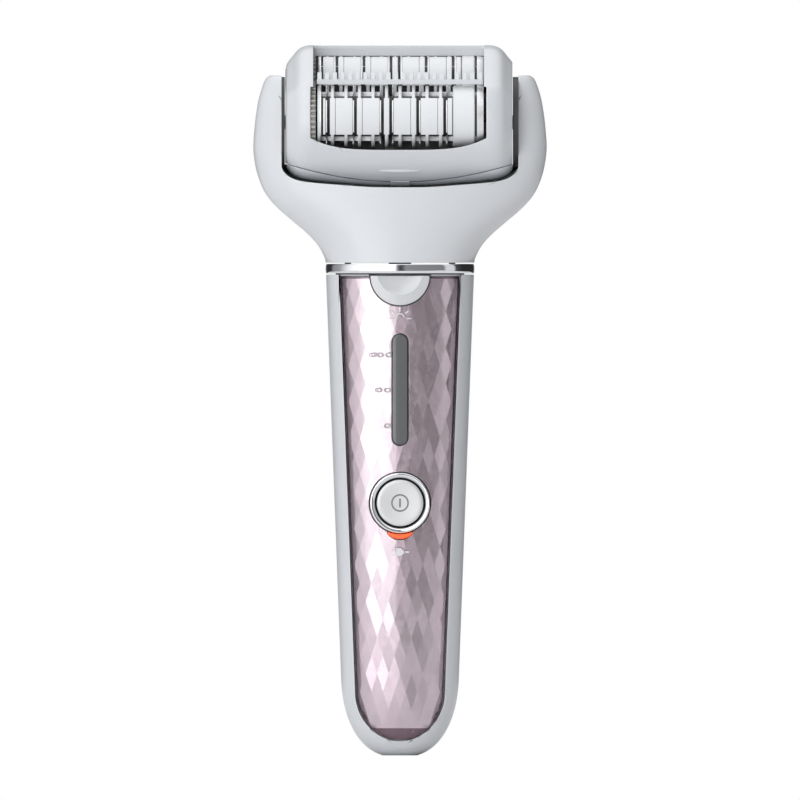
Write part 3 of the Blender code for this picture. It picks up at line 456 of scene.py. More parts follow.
def make_materials():
    """Every material by its name."""
    white = (0.625, 0.64, 0.66)
    steel = (0.60, 0.61, 0.63)
    pink = (0.66, 0.565, 0.61)
    foil = material("pink_foil", pink, 0.20, 0.92, Coat_Weight=0.3, Coat_Roughness=0.05)
    vary_colour(foil, 260.0, shade(pink, 0.95), shade(pink, 1.04))
    vary_roughness(foil, 900.0, 0.16, 0.26)
    chrome = material("bright_trim", (0.80, 0.81, 0.83), 0.07, 1.0)
    vary_roughness(chrome, 500.0, 0.05, 0.10)
    grain(chrome, 500.0, 0.0006)
    # dark mauve for the backing that shows round the foil: painted reflection, standing for the
    # dark that the panel's curving edge mirrors
    foil_rim_painted_reflection = material("foil_rim_painted_reflection", (0.16, 0.09, 0.12), 0.25, 0.6)
    vary_roughness(foil_rim_painted_reflection, 800.0, 0.2, 0.3)
    return {
        "pink_foil": foil,
        "foil_rim_painted_reflection": foil_rim_painted_reflection,
        "bright_trim": chrome,
        "clear_cover": clear_plastic(),
        "white_shell": plastic("white_shell", white, 0.32, 0.0006, Coat_Weight=0.25,
                               Coat_Roughness=0.12),
        # the tray's white is 1.22 times the shell's: painted light that makes up for the shade the
        # yoke casts on the tray
        "tray_painted_fill_light": plastic("tray_painted_fill_light", shade(white, 1.22), 0.32, 0.0006),
        "silver_button": plastic("silver_button", (0.68, 0.68, 0.68), 0.34, 0.0008, Metallic=0.35),
        "orange_light": lit_plastic("orange_light", (1.0, 0.10, 0.025), 0.75),
        "smoke_lens": plastic("smoke_lens", (0.115, 0.118, 0.12), 0.16, 0.0004, Coat_Weight=0.6),
        "pale_lens": plastic("pale_lens", (0.58, 0.59, 0.60), 0.24, 0.0006, Coat_Weight=0.4),
        "circuit_board": plastic("circuit_board", (0.02, 0.16, 0.07), 0.42),
        "battery_sleeve": plastic("battery_sleeve", (0.05, 0.22, 0.13), 0.38),
        "steel": metal("steel", steel, 0.28, (1.0, 1.0, 12.0)),
        "tweezer_steel": metal("tweezer_steel", (0.86, 0.86, 0.87), 0.48, (0.5, 1.0, 1.0)),
        "drum_plastic": plastic("drum_plastic", (0.72, 0.735, 0.75), 0.36),
        # near-black plastic for the drum cores: painted shade for the deep cells between the discs
        "drum_core_painted_shade": plastic("drum_core_painted_shade", (0.055, 0.055, 0.05), 0.5),
        "gear_nylon": plastic("gear_nylon", (0.42, 0.42, 0.38), 0.45),
        "black_plastic": plastic("black_plastic", (0.025, 0.025, 0.027), 0.45),
        "inner_plastic": plastic("inner_plastic", (0.33, 0.34, 0.35), 0.42),
        "seal_rubber": plastic("seal_rubber", (0.03, 0.03, 0.032), 0.7, 0.004),
        "contact_brass": metal("contact_brass", (0.72, 0.52, 0.25), 0.25),
        "icon_print": plastic("icon_print", (0.70, 0.69, 0.70), 0.4),
        "icon_mark": plastic("icon_mark", (0.36, 0.35, 0.36), 0.4),
        "icon_dark": plastic("icon_dark", (0.20, 0.20, 0.21), 0.4),
    }


NODE_SLOTS = {
    "steel": ("swing_spring", "release_spring", "pivot_pin_left", "pivot_pin_right", "motor_can",
              "motor_shaft", "neck_screw_left", "neck_screw_right", "battery_tab_top",
              "battery_tab_bottom"),
    "pale_lens": ("light_led", "speed_light_bar"),
    "black_plastic": ("tact_switch", "motor_end_cap"),
    "circuit_board": ("circuit_board",),
    "battery_sleeve": ("battery_cell",),
    "inner_plastic": ("chassis", "neck_plate", "yoke_base", "bearing_plate_left",
                      "bearing_plate_right"),
    "seal_rubber": ("button_seal", "inlet_seal", "neck_seal"),
    "contact_brass": ("inlet_pin_left", "inlet_pin_right"),
    "gear_nylon": ("drive_dog", "input_shaft", "drive_shaft"),
}


# ---- Finishing a piece ----
def ease_edges(part, width, segments=2, angle=42.0):
    """Round every sharp edge by width, in millimetres."""
    modifier = part.modifiers.new("edges", "BEVEL")
    modifier.width = width * MM
    modifier.segments = segments
    modifier.limit_method = "ANGLE"
    modifier.angle_limit = radians(angle)
    modifier.use_clamp_overlap = False
    modifier.loop_slide = True
    return part


def finish(name, part, slot_name, body, replaced=(), edge=0.0, smooth=35.0, look=None):
    """Name a piece, round and shade it, give it its material and put it on its body."""
    part.name = name
    if edge:
        ease_edges(part, edge)
        bake(part)
    part.data.name = name
    part.data.materials.clear()
    part.data.materials.append(MATERIALS[look or slot_name])
    for face in part.data.polygons:
        face.material_index = 0
    if smooth:
        part.data.shade_smooth()
        part.data.set_sharp_from_angle(angle=radians(smooth))
        weighted = part.modifiers.new("normals", "WEIGHTED_NORMAL")
        weighted.keep_sharp = True
    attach(part, body)
    if replaced:
        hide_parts(*replaced)
    return part


# ---- Handle ----
def section(half_width, front, rear, z, sides):
    """A rounded cross-section at height z, with its own depth to the front and to the rear."""
    ring = []
    for k in range(sides):
        angle = 2 * pi * (k + 0.5) / sides
        c, s = cos(angle), sin(angle)
        depth = rear if s > 0 else front
        x = half_width * abs(c) ** (2 / SECTION_POWER)
        y = depth * abs(s) ** (2 / SECTION_POWER)
        ring.append((x if c > 0 else -x, y if s > 0 else -y, z))
    return ring


def dome(z):
    """Share of the full width that the rounded base has at height z."""
    left = max(0.0, (DOME_HEIGHT - z - 0.45) / DOME_HEIGHT)
    return (1 - left ** 2.2) ** 0.4


def half_width(z):
    """Half of the handle's width at height z."""
    return (BASE_HALF_WIDTH + WIDTH_TAPER * z) * dome(z)


def depth_dome(z):
    """The same for the depth, which stays full nearly to the base."""
    left = max(0.0, (DOME_HEIGHT - z - 0.45) / DOME_HEIGHT)
    return (1 - left ** 6) ** 0.4


def front_depth(z):
    return (FRONT_DEPTH + FRONT_TAPER * z) * depth_dome(z)


def rear_depth(z):
    return REAR_DEPTH * depth_dome(z)


def front_y(x, z, below=0.0, most=1.0):
    """The handle's front surface, or one below it, at a place in the front view.

    Beyond the share of the half width that most gives, it goes no further back.
    """
    share = min(abs(x) / (half_width(z) - below), most)
    return -(front_depth(z) - below) * (1 - share ** SECTION_POWER) ** (1 / SECTION_POWER)


def handle_solid(low, high, side=0.0, front=0.0, rear=0.0, sides=HANDLE_SIDES):
    """The handle from one height to another, taken in at its sides, front and rear."""
    rounded = [DOME_HEIGHT * (1 - cos(pi / 2 * k / 22)) for k in range(23)]
    straight = [26.0 + 8.0 * k for k in range(12)]
    heights = [low] + [z for z in rounded + straight if low + 0.05 < z < high - 0.3] + [high]
    return loft([section(half_width(z) - side, front_depth(z) - front, rear_depth(z) - rear,
                         z, sides) for z in heights])


def panel_outline(inset):
    """The panel seen from the front, taken in by inset all round."""
    heights = [PANEL_TOP - inset, 100.0, 80.0, 60.0, 45.0, 30.0, 22.0]
    heights += [PANEL_BOTTOM + PANEL_ROUND * (1 - sin(pi / 2 * k / 24)) for k in range(25)]
    side = []
    for z in heights:
        left = max(0.0, (PANEL_BOTTOM + PANEL_ROUND - z) / PANEL_ROUND)
        width = (PANEL_HALF_WIDTH + PANEL_TAPER * z) * (1 - left ** 2) ** 0.5 - inset
        side.append((max(width, 0.0), max(z, PANEL_BOTTOM + inset)))
    right = [p for p in side if p[0] > 0.4]
    return right + [(0.0, PANEL_BOTTOM + inset)] + [(-x, z) for x, z in reversed(right)]


def pill(half, low, high, sides=24):
    """An upright slot with round ends, seen from the front."""
    top = [(half * cos(pi * k / sides), high - half + half * sin(pi * k / sides))
           for k in range(sides + 1)]
    bottom = [(-half * cos(pi * k / sides), low + half - half * sin(pi * k / sides))
              for k in range(sides + 1)]
    return top + bottom


def half_disc(radius, above=0.0):
    """The light's lens: a half disc that hangs from the panel's top edge, or a hole for it."""
    bowl = [(radius * cos(pi * k / 40), PANEL_TOP - radius * sin(pi * k / 40)) for k in range(41)]
    return bowl + [(-radius, PANEL_TOP + above), (radius, PANEL_TOP + above)] if above else bowl


def crescent(grow):
    """The charge light under the button: its upper edge follows the bezel."""
    reach = CHARGE_HALF_WIDTH + grow
    upper = BEZEL_RADIUS + GAP - grow
    turn = asin(reach / upper)
    edge = [(upper * sin(turn * k / 8), BUTTON_Z - upper * cos(turn * k / 8)) for k in range(-8, 9)]
    drop = edge[0][1] - (CHARGE_BOTTOM - grow)
    bowl = [(reach * cos(pi * k / 20), edge[0][1] - drop * sin(pi * k / 20)) for k in range(1, 20)]
    return edge + bowl


def front_holes(grow):
    """Cutters through the front wall for the pieces that sit in the panel."""
    outlines = (circle((0.0, BUTTON_Z), BEZEL_RADIUS + grow, 96), crescent(grow),
                pill(WINDOW_HALF_WIDTH + grow, WINDOW_Z[0] - grow, WINDOW_Z[1] + grow),
                half_disc(LIGHT_RADIUS + grow, 2.0))
    return [through_front(outline, -4.0) for outline in outlines]


def half_shell(other_half):
    """One hollow half of the handle, open round the charging inlet."""
    shell = cut(handle_solid(0.0, HANDLE_TOP), other_half)
    cut(shell, handle_solid(2.4, HANDLE_TOP + 2.0, WALL, FRONT_WALL, WALL, 48))
    x, y = INLET_HALF[0] + GAP, INLET_HALF[1] + GAP
    return cut(shell, box((-x, -y, -2.0), (x, y, 4.0)))


def make_shells():
    front = half_shell(box((-40, SPLIT_Y - GAP / 2, -5), (40, 40, 130)))
    recess = through_front(panel_outline(0.0))
    cut(recess, handle_solid(0.3, HANDLE_TOP + 2.0, PANEL_RECESS, PANEL_RECESS))
    cut(front, recess, *front_holes(GAP))
    finish("handle_front_shell", front, "white_shell", "handle", ("front_shell",), 0.22)
    rear = half_shell(box((-40, -40, -5), (40, SPLIT_Y + GAP / 2, 130)))
    cut(rear, box((-20, REST_Y, REST_Z[0]), (20, 20, REST_Z[1])))
    cut(rear, prism(release_outline(GAP), "y", 6.0, 20.0))
    finish("handle_rear_shell", rear, "white_shell", "handle", ("rear_shell",), 0.22)


def make_seam_shade_strip():
    """The dark strip behind the joint of the two shells: painted shade that keeps the joint dark.
    """
    seal = handle_solid(1.6, HANDLE_TOP - 0.6, WALL + 0.05, FRONT_WALL, WALL + 0.05, 48)
    cut(seal, handle_solid(2.6, HANDLE_TOP + 1.0, WALL + 0.6, FRONT_WALL, WALL + 0.6, 48))
    common(seal, box((-40.0, SPLIT_Y - 1.2, 0.0), (40.0, SPLIT_Y + 1.2, 130.0)))
    inlet_room = box((-4.6, -4.0, 0.0), (4.6, 4.0, 8.0))
    cut(seal, inlet_room)
    # the black rubber here is painted shade for the joint
    finish("handle_seam_painted_shade", seal, "seal_rubber", "handle")


def release_outline(grow):
    """The release button seen from the back: a flat bar with round ends."""
    half, reach = RELEASE_HALF + grow, RELEASE_REACH + grow
    turns = [pi * (k / 24 - 0.5) for k in range(25)]
    right = [(reach - half + half * cos(turn), RELEASE_Z + half * sin(turn)) for turn in turns]
    return right + [(-x, 2 * RELEASE_Z - z) for x, z in right]


def facet_grid(depth):
    """Points of the lozenge pattern at a depth below the handle's surface, row by row.

    A lozenge's corners are points whose row and column numbers add up to an even number.
    """
    rows = []
    for r in range(int((PANEL_TOP - FACET_BOTTOM) / FACET_HALF_LENGTH) + 4):
        z = FACET_BOTTOM + r * FACET_HALF_LENGTH
        places = [k * FACET_HALF_WIDTH for k in range(-FACET_COLUMNS, FACET_COLUMNS + 1)]
        rows.append([(x, front_y(x, z, depth, 0.999), z) for x in places])
    return rows


def facet_normal(x, z, depth):
    """Direction that the flat lozenge round a place in the front view faces."""
    column, row = x / FACET_HALF_WIDTH, (z - FACET_BOTTOM) / FACET_HALF_LENGTH
    rising, falling = 2 * round((column + row) / 2), 2 * round((row - column) / 2)
    column, row = (rising - falling) / 2, (rising + falling) / 2
    x, z = column * FACET_HALF_WIDTH, FACET_BOTTOM + row * FACET_HALF_LENGTH

    def surface(at_x, at_z):
        return front_y(at_x, at_z, depth, 0.985)

    across = (surface(x + 1.0, z) - surface(x - 1.0, z)) / 2.0
    along = (surface(x, z + 2.0) - surface(x, z - 2.0)) / 4.0
    # a slight tilt of its own for each lozenge
    across += 0.014 * sin(1.9 * column + 2.3 * row)
    along += 0.03 * sin(2.7 * column + 1.1 * row)
    return Vector((across, -1.0, along)).normalized()


def flatten_facets(foil, depth):
    """Give every corner of a lozenge the same normal, so that it shines as one flat face."""
    mesh = foil.data
    mesh.shade_smooth()
    normals = [None] * len(mesh.loops)
    for face in mesh.polygons:
        facing = face.normal
        if facing.y < -0.35:
            facing = facet_normal(face.center.x / MM, face.center.z / MM, depth)
        for loop in face.loop_indices:
            normals[loop] = tuple(facing)
    mesh.normals_split_custom_set(normals)


def facet_sheet(depth):
    """The lozenges as one sheet, each in two triangles, with a straight lower edge."""
    rows = facet_grid(depth)
    width = len(rows[0])
    faces = []
    for r in range(1, len(rows) - 1):
        for k in range(1, width - 1):
            if (r + k) % 2:
                left, right = r * width + k - 1, r * width + k + 1
                faces.append([(r - 1) * width + k, right, left])
                faces.append([right, (r + 1) * width + k, left])
    faces += [[k - 1, k + 1, width + k] for k in range(1, width - 1, 2)]
    return raw_mesh([p for row in rows for p in row], faces)


def make_foil():
    """The metallised sheet under the cover: flat lozenges, each tilted by the curve it lies on."""
    below = COVER_THICKNESS + GAP
    mesh = facet_sheet(below)
    with editing(mesh) as bm:
        loose = [v for v in bm.verts if not v.link_faces]
        bmesh.ops.delete(bm, geom=loose, context="VERTS")
        bmesh.ops.recalc_face_normals(bm, faces=bm.faces)
        if sum(f.normal.y for f in bm.faces) > 0:
            bmesh.ops.reverse_faces(bm, faces=bm.faces)
        walls = bmesh.ops.extrude_face_region(bm, geom=list(bm.faces))
        for element in walls["geom"]:
            if isinstance(element, bmesh.types.BMVert):
                element.co.y += FOIL_BODY * MM
        bmesh.ops.recalc_face_normals(bm, faces=bm.faces)
    foil = new_object(mesh)
    common(foil, through_front(panel_outline(0.75)))
    cut(foil, *front_holes(GAP))
    finish("faceted_foil", foil, "pink_foil", "handle", smooth=0.0)
    flatten_facets(foil, below)
    # the backing shows as a dark band round the foil: painted reflection for the panel's curving
    # edge
    backing = common(through_front(panel_outline(0.4), -3.5), front_skin(below + 0.25, below + 0.9))
    cut(backing, *front_holes(GAP))
    finish("foil_backing", backing, "pink_foil", "handle", ("decor_panel",), look="foil_rim_painted_reflection")


def front_skin(outer, inner):
    """The handle's skin between two depths below its surface, solid towards the rear."""
    skin = handle_solid(0.0, HANDLE_TOP, outer, outer)
    return cut(skin, handle_solid(0.3, HANDLE_TOP + 2.0, inner, inner))


def front_insert(outline, thickness):
    """A piece of the front skin with the given outline, as thick as stated."""
    return common(through_front(outline), front_skin(0.0, thickness))


def make_cover():
    cover = front_insert(panel_outline(0.25), COVER_THICKNESS)
    cut(cover, *front_holes(GAP))
    finish("panel_clear_cover", cover, "clear_cover", "handle", ("panel_cover",), 0.2)


def make_inserts():
    window = front_insert(pill(WINDOW_HALF_WIDTH, *WINDOW_Z), 2.6)
    finish("speed_level_window", window, "smoke_lens", "handle", ("speed_window",), 0.15)
    lens = front_insert(crescent(0.0), 2.6)
    finish("charge_light", lens, "orange_light", "handle", ("charge_lens",), 0.15)
    make_light_lens()
    make_bezel()


def make_bezel():
    """The bright ring round the button, with a rounded outer rim."""
    profile = [(-10.7, BEZEL_RADIUS), (-12.85, BEZEL_RADIUS)]
    profile += [(-12.85 - 0.4 * sin(pi / 2 * k / 6), 7.25 + 0.4 * cos(pi / 2 * k / 6))
                for k in range(1, 7)]
    profile += [(-13.2, 6.95), (-13.05, 6.65), (-12.75, 6.42), (-12.3, 6.35), (-10.7, 6.35)]
    bezel = turned_ring(profile, "y", (0.0, BUTTON_Z), 128)
    finish("power_button_bezel", bezel, "bright_trim", "handle", ("button_bezel",))


def make_light_lens():
    """The lamp's lens, dished so that its lower rim catches the light."""
    lens = front_insert(half_disc(LIGHT_RADIUS), 2.6)
    scoop = [(-13.6, 0.4), (-13.65, 3.4), (-13.85, 4.8), (-14.3, 6.0), (-15.6, 7.6)]
    bowl = turned(curve_through(scoop, 6), "y", (0.0, PANEL_TOP + 1.4), 96)
    cut(lens, bowl)
    finish("lamp_lens", lens, "pale_lens", "handle", ("light_lens",), 0.12)
    gasket = front_insert(half_disc(LIGHT_RADIUS + 0.26), 1.9)
    cut(gasket, through_front(half_disc(LIGHT_RADIUS + 0.03, 3.0)))
    finish("lamp_lens_gasket", gasket, "black_plastic", "handle")


def make_power_button():
    edge = BUTTON_RADIUS
    profile = [(-12.92, 0.05), (-12.93, 1.5), (-12.98, 3.2), (-13.06, 4.6), (-13.08, 5.1)]
    profile += [(-12.6 - 0.48 * cos(pi / 2 * k / 6), edge - 0.5 + 0.5 * sin(pi / 2 * k / 6))
                for k in range(1, 7)]
    profile += [(-11.3, edge), (-11.3, 1.6), (-10.7, 1.6)]
    button = turned(profile, "y", (0.0, BUTTON_Z), 128)
    finish("power_push_button", button, "silver_button", "power_button", ("power_button",))
    ring = circle((0.0, BUTTON_Z), 2.05, 48)
    line = [(0.0, BUTTON_Z - 1.1), (0.0, BUTTON_Z + 1.1)]

    def button_top(_x, _z):
        return -12.94

    icon = together([ribbon(ring, 0.42, button_top, closed=True), ribbon(line, 0.45, button_top)])
    finish("power_icon", icon, "silver_button", "power_button", look="icon_dark")


def ribbon(path, width, depth, closed=False, lift=0.04, sink=0.12):
    """A thin raised line along a path in the front view; depth gives the surface it lies on."""
    rings = []
    count = len(path)
    for k, (x, z) in enumerate(path):
        ahead = path[(k + 1) % count] if closed or k < count - 1 else path[k]
        behind = path[k - 1] if closed or k > 0 else path[k]
        dx, dz = ahead[0] - behind[0], ahead[1] - behind[1]
        reach = hypot(dx, dz)
        across = (-dz / reach * width / 2, dx / reach * width / 2)
        ring = []
        for side, out in ((-1, lift), (1, lift), (1, -sink), (-1, -sink)):
            px, pz = x + side * across[0], z + side * across[1]
            ring.append((px, depth(px, pz) - out, pz))
        rings.append(ring)
    return closed_loft(rings) if closed else loft(rings)


def flat_sign(outline, depth, lift=0.04, sink=0.12):
    """A thin raised flat shape with the given outline in the front view."""
    return loft([[(x, depth(x, z) - out, z) for x, z in outline] for out in (lift, -sink)])


def make_icons():
    """The lamp sign, the plug sign and three rows of level marks, printed on the cover."""
    base = 110.75
    turns = [pi * (0.08 + 0.84 * k / 12) for k in range(13)]
    arc = [(1.1 * cos(turn), base - 0.1 + 1.35 * sin(turn)) for turn in turns]
    lamp = [ribbon(arc, ICON_LINE, front_y)]
    for turn in (0.0, 42.0, 90.0, 138.0, 180.0):
        c, s = cos(radians(turn)), sin(radians(turn))
        lamp.append(ribbon([(1.75 * c, base + 1.75 * s), (2.9 * c, base + 2.9 * s)],
                           ICON_LINE, front_y))
    finish("lamp_icon", together(lamp), "silver_button", "handle", look="icon_print")

    plug = [flat_sign([(-1.0, 50.6), (0.1, 50.5), (1.0, 51.2), (1.05, 51.5), (1.0, 51.9),
                       (0.1, 52.6), (-1.0, 52.5)], front_y)]
    plug.append(ribbon([(1.25, 51.55), (2.3, 51.55)], 0.4, front_y))
    for z in (51.0, 52.1):
        plug.append(ribbon([(-1.95, z), (-1.2, z)], 0.3, front_y))
    finish("plug_icon", together(plug), "silver_button", "handle", look="icon_print")

    marks = []
    for z, places in ((101.5, (-7.1, -5.2, -2.95)), (92.6, (-5.55, -3.3)), (83.5, (-3.3,))):
        for x in places:
            outline = [(x + 0.75 * cos(2 * pi * k / 20) * 0.95, z + 0.5 * sin(2 * pi * k / 20))
                       for k in range(20)]
            marks.append(ribbon(outline, 0.27, front_y, closed=True))
        marks.append(ribbon([(-2.5, z), (-2.1, z)], 0.22, front_y))
    finish("level_marks", together(marks), "silver_button", "handle", look="icon_mark")


def make_ring():
    low, high = RING_Z
    z = (low + high) / 2
    rings = []
    for k in range(13):
        turn = pi * k / 12
        inset = 0.5 * (1 - sin(turn)) if k in (0, 12) else 0.35 * (1 - sin(turn) ** 0.6)
        height = z - (high - low) / 2 * cos(turn)
        rings.append(section(half_width(z) + 0.05 - inset, front_depth(z) - inset,
                             rear_depth(z) - inset, height, 160))
    for height in (high, low):
        rings.append(section(half_width(z) - 2.0, front_depth(z) - 2.0, rear_depth(z) - 2.0,
                             height, 160))
    finish("neck_trim_ring", closed_loft(rings), "bright_trim", "handle", ("neck_ring",))


# ---- Yoke ----
def yoke_solid(side=0.0, deep=0.0, low_extra=0.0, sides=HANDLE_SIDES):
    rows = curve_through(YOKE_SECTIONS, 4)
    rings = [section(width - side, front - deep, rear - deep, z, sides)
             for z, width, front, rear in rows]
    first = YOKE_SECTIONS[0]
    if low_extra:
        rings.insert(0, section(first[1] - side, first[2] - deep, first[3] - deep,
                                first[0] - low_extra, sides))
    if side:
        rings = rings[:-8]      # a hollow ends below the arms' tips
    return loft(rings)


def saddle_outline(grow, rise=0.0):
    """The space between the arms seen from the front: the head's barrel and its gap."""
    side = []
    for x, low_share, _top in curve_through(HEAD_STATIONS, 4):
        side.append((min(x * ARM_INNER / 29.0, ARM_INNER) + grow * x / 29.0,
                     PIVOT_Z - SADDLE_GAP - BARREL_RADIUS * low_share - grow + rise))
    side.append((ARM_INNER + grow, PIVOT_Z - 8.6))
    side.append((ARM_INNER + grow, 200.0))
    return side + [(-x, z) for x, z in reversed(side[1:])]


def make_yoke():
    """The hollow yoke, cut from one solid and parted into a front and a rear cover."""
    shell = yoke_solid()
    cut(shell, prism(saddle_outline(0.0), "y", -40.0, SADDLE_STEP_Y))
    cut(shell, prism(saddle_outline(0.0, SADDLE_STEP), "y", SADDLE_STEP_Y - GAP, 40.0))
    hollow = yoke_solid(WALL, WALL, 5.0, 48)
    cut(hollow, prism(saddle_outline(1.6), "y", -40.0, 40.0))
    cut(shell, hollow)
    cut(shell, rod("x", -33.0, 33.0, PIN_RADIUS + GAP))
    cut(shell, rod("z", 138.0, 150.0, 2.6, (0.0, 0.0)))
    rear = new_object(shell.data.copy())
    cut(shell, box((-50, -GAP / 4, 110), (50, 40, 190)))
    finish("yoke_front_cover", shell, "white_shell", "head_unit", ("yoke_front_shell",), 0.14)
    cut(rear, box((-50, -40, 110), (50, GAP / 4, 190)))
    finish("yoke_rear_cover", rear, "white_shell", "head_unit", ("yoke_rear_shell",), 0.14)


def make_pivot_washers():
    """The dark discs between the head's ends and the arms."""
    for name, low, high in (("left", -ARM_INNER - 0.05, HEAD_LEFT - 0.1),
                            ("right", HEAD_RIGHT + 0.1, ARM_INNER + 0.05)):
        profile = [(low, PIN_RADIUS + GAP), (high, PIN_RADIUS + GAP), (high, WASHER_RADIUS),
                   (low, WASHER_RADIUS)]
        washer = turned_ring(profile, "x", PIVOT)
        finish("pivot_side_disc_" + name, washer, "black_plastic", "head_unit",
               ("pivot_washer_" + name,))


# ---- Head ----
SMOOTH_CROWN = curve_through(CROWN, 5)
SMOOTH_STATIONS = curve_through(HEAD_STATIONS, 4)


def outline_reach(outline, angle):
    """Distance from the origin to an outline in the direction of angle."""
    ray_a, ray_b = cos(angle), sin(angle)
    reach = 0.0
    for (a0, b0), (a1, b1) in zip(outline, outline[1:]):
        edge_a, edge_b = a1 - a0, b1 - b0
        spread_out = ray_a * edge_b - ray_b * edge_a
        if abs(spread_out) > 1e-9:
            share = (ray_b * a0 - ray_a * b0) / spread_out
            distance = (a0 * edge_b - b0 * edge_a) / spread_out
            if -1e-6 <= share <= 1 + 1e-6 and distance > 0:
                reach = max(reach, distance)
    return reach


def head_station(x):
    """Shares of the barrel's radius and of the top at a distance from the head's middle."""
    for (x0, low0, top0), (x1, low1, top1) in zip(SMOOTH_STATIONS, SMOOTH_STATIONS[1:]):
        if x <= x1:
            t = (x - x0) / (x1 - x0)
            return low0 + t * (low1 - low0), top0 + t * (top1 - top0)
    return SMOOTH_STATIONS[-1][1:]


def head_ring(x, inset):
    """The head's cross-section at x, taken in by inset."""
    low_share, top_share = head_station(abs(x))
    ring = []
    for k in range(HEAD_SIDES):
        angle = 2 * pi * (k + 0.5) / HEAD_SIDES
        if sin(angle) < 0:
            reach = BARREL_RADIUS * (top_share + (low_share - top_share) * sin(angle) ** 2)
        else:
            reach = outline_reach(SMOOTH_CROWN, angle) * top_share
        ring.append((x, (reach - inset) * cos(angle), PIVOT_Z + (reach - inset) * sin(angle)))
    return ring


def head_solid(inset=0.0, left=HEAD_LEFT, right=HEAD_RIGHT):
    steps = [s[0] for s in SMOOTH_STATIONS[1:]]
    places = [left] + [-x for x in reversed(steps) if -x > left + 0.1] + [0.0]
    places += [x for x in steps if x < right - 0.1] + [right]
    return loft([head_ring(x, inset) for x in places])


def seam_cutter(above, shift):
    """Everything above, or below, the curved seam between the head's base and its frame."""
    line = []
    for k in range(-32, 33):
        x = float(k)
        line.append((x, PIVOT_Z - SEAM_DROP + SEAM_RISE * (x / SEAM_REACH) ** 2 + shift))
    far = 220.0 if above else 100.0
    return prism(line + [(32.0, far), (-32.0, far)], "y", -40.0, 40.0)


def make_head_base():
    tray = head_solid()
    cut(tray, head_solid(1.6, HEAD_LEFT + 1.4, HEAD_RIGHT - 1.4))
    cut(tray, seam_cutter(True, -GAP / 4))
    for side in (-1, 1):
        near, far = sorted((side * 25.7, side * 26.8))
        cheek = [(-4.5, 147.6), (4.5, 147.6), (4.5, PIVOT_Z + 2), (2.5, PIVOT_Z + 4),
                 (-2.5, PIVOT_Z + 4), (-4.5, PIVOT_Z + 2)]
        join(tray, prism(cheek, "x", near, far))
    cut(tray, rod("x", -35.0, 35.0, PIN_RADIUS + GAP))
    cut(tray, box((-1.6, -5.9, 140.0), (1.6, 5.9, 147.0)))
    # the tray takes the lighter white: painted light against the yoke's shade on it
    finish("head_lower_tray", tray, "white_shell", "head", ("head_base",), 0.05, look="tray_painted_fill_light")


def make_head_shade_liner():
    """The dark inner wall that closes the seam between the tray and the frame; its black is painted
    shade, so that the seam shows dark and not the lit inside of the head.
    """
    liner = head_solid(1.7, HEAD_LEFT + 1.6, HEAD_RIGHT - 1.6)
    cut(liner, head_solid(2.0, HEAD_LEFT + 1.9, HEAD_RIGHT - 1.9))
    cut(liner, box((-40.0, -40.0, 152.4), (40.0, 40.0, 200.0)))
    cut(liner, box((-3.6, -6.2, 140.0), (3.6, 6.2, 150.0)))
    # black: painted shade behind the seam
    finish("head_inner_painted_shade", liner, "black_plastic", "head")


def make_slot_shutter():
    """A thin plate on the yoke that closes the tray's slot from outside as the head swings."""
    shutter = sector(PIVOT, radians(-90), 23, *SHUTTER_RADII, -2.4, 2.4, 24)
    cut(shutter, rod("z", 140.0, 150.0, 1.6, (0.0, 0.0), 48))
    finish("drive_slot_shutter", shutter, "white_shell", "head_unit")


def lower_window():
    """The front opening for the front drum, with a curved lower edge."""
    left, right, low, high = LOWER_WINDOW
    middle, reach = (left + right) / 2, (right - left) / 2
    lower = []
    for k in range(-24, 25):
        share = k / 24
        lower.append((middle + reach * share, low + LOWER_WINDOW_CORNER * abs(share) ** 4))
    return lower + [(right, high), (left, high)]


def make_skin_frame():
    shell = head_solid()
    cut(shell, head_solid(HEAD_WALL, HEAD_LEFT + 1.4, HEAD_RIGHT - 1.4))
    cut(shell, seam_cutter(False, GAP / 4))
    cut(shell, box((-27.0, -5.2, 140.0), (27.0, 5.2, 148.6)))
    cut(shell, prism(lower_window(), "y", -30.0, -1.0))
    left, right, low, back = UPPER_WINDOW
    cut(shell, box((left, -30.0, low), (right, back, 200.0)))
    cut(shell, rod("x", -35.0, 35.0, PIN_RADIUS + GAP + 0.2))
    front, rear, bottom, top = TOP_BAR
    join(shell, box((left - 1.0, front, bottom), (right + 1.0, rear, top)))
    finish("head_skin_frame", shell, "white_shell", "head", ("skin_frame",), 0.12)
    ridge = turned(curve_through([(-5.6, 0.05), (-3.4, 0.34), (0.0, 0.5), (3.4, 0.34),
                                  (5.2, 0.05)], 4), "x", (-10.45, 148.2), 24)
    finish("release_ridge", ridge, "white_shell", "head")


def make_comb():
    """The bar between the drums, with teeth that lift the hairs."""
    left, right, front, rear, low, high = COMB
    bar = box((left, front, low), (right, rear, high))
    outline = [(front + 0.2, high - 0.2), (rear - 0.1, high - 0.2), (rear + 1.2, high + 1.7),
               (rear + 1.0, high + 1.8), (rear + 0.6, high + 1.8), (rear + 0.4, high + 1.7)]
    teeth = []
    for k in range(COMB_TEETH):
        x = left + 0.7 + (right - left - 1.4) * k / (COMB_TEETH - 1)
        teeth.append(prism(outline, "x", x - 0.55, x + 0.55))
    join(bar, together(teeth))
    finish("hair_lifting_comb", bar, "white_shell", "head", ("comb_bar",), 0.12)


# ---- Drums ----
def rear_drum_place():
    """Where the rear drum's axis stands, at the spacing that its gear needs."""
    across = (DRUM_SPACING ** 2 - REAR_DRUM_LIFT ** 2) ** 0.5
    return (FRONT_DRUM[0] + across, FRONT_DRUM[1] + REAR_DRUM_LIFT)


def rear_phase():
    """Turn of the rear drum's gear that meshes it with the front drum's."""
    rear = rear_drum_place()
    towards = atan2(FRONT_DRUM[1] - rear[1], FRONT_DRUM[0] - rear[0])
    pitch = 2 * pi / DRUM_TEETH
    facing = (towards + pi) % pitch
    return towards + pitch / 2 + facing


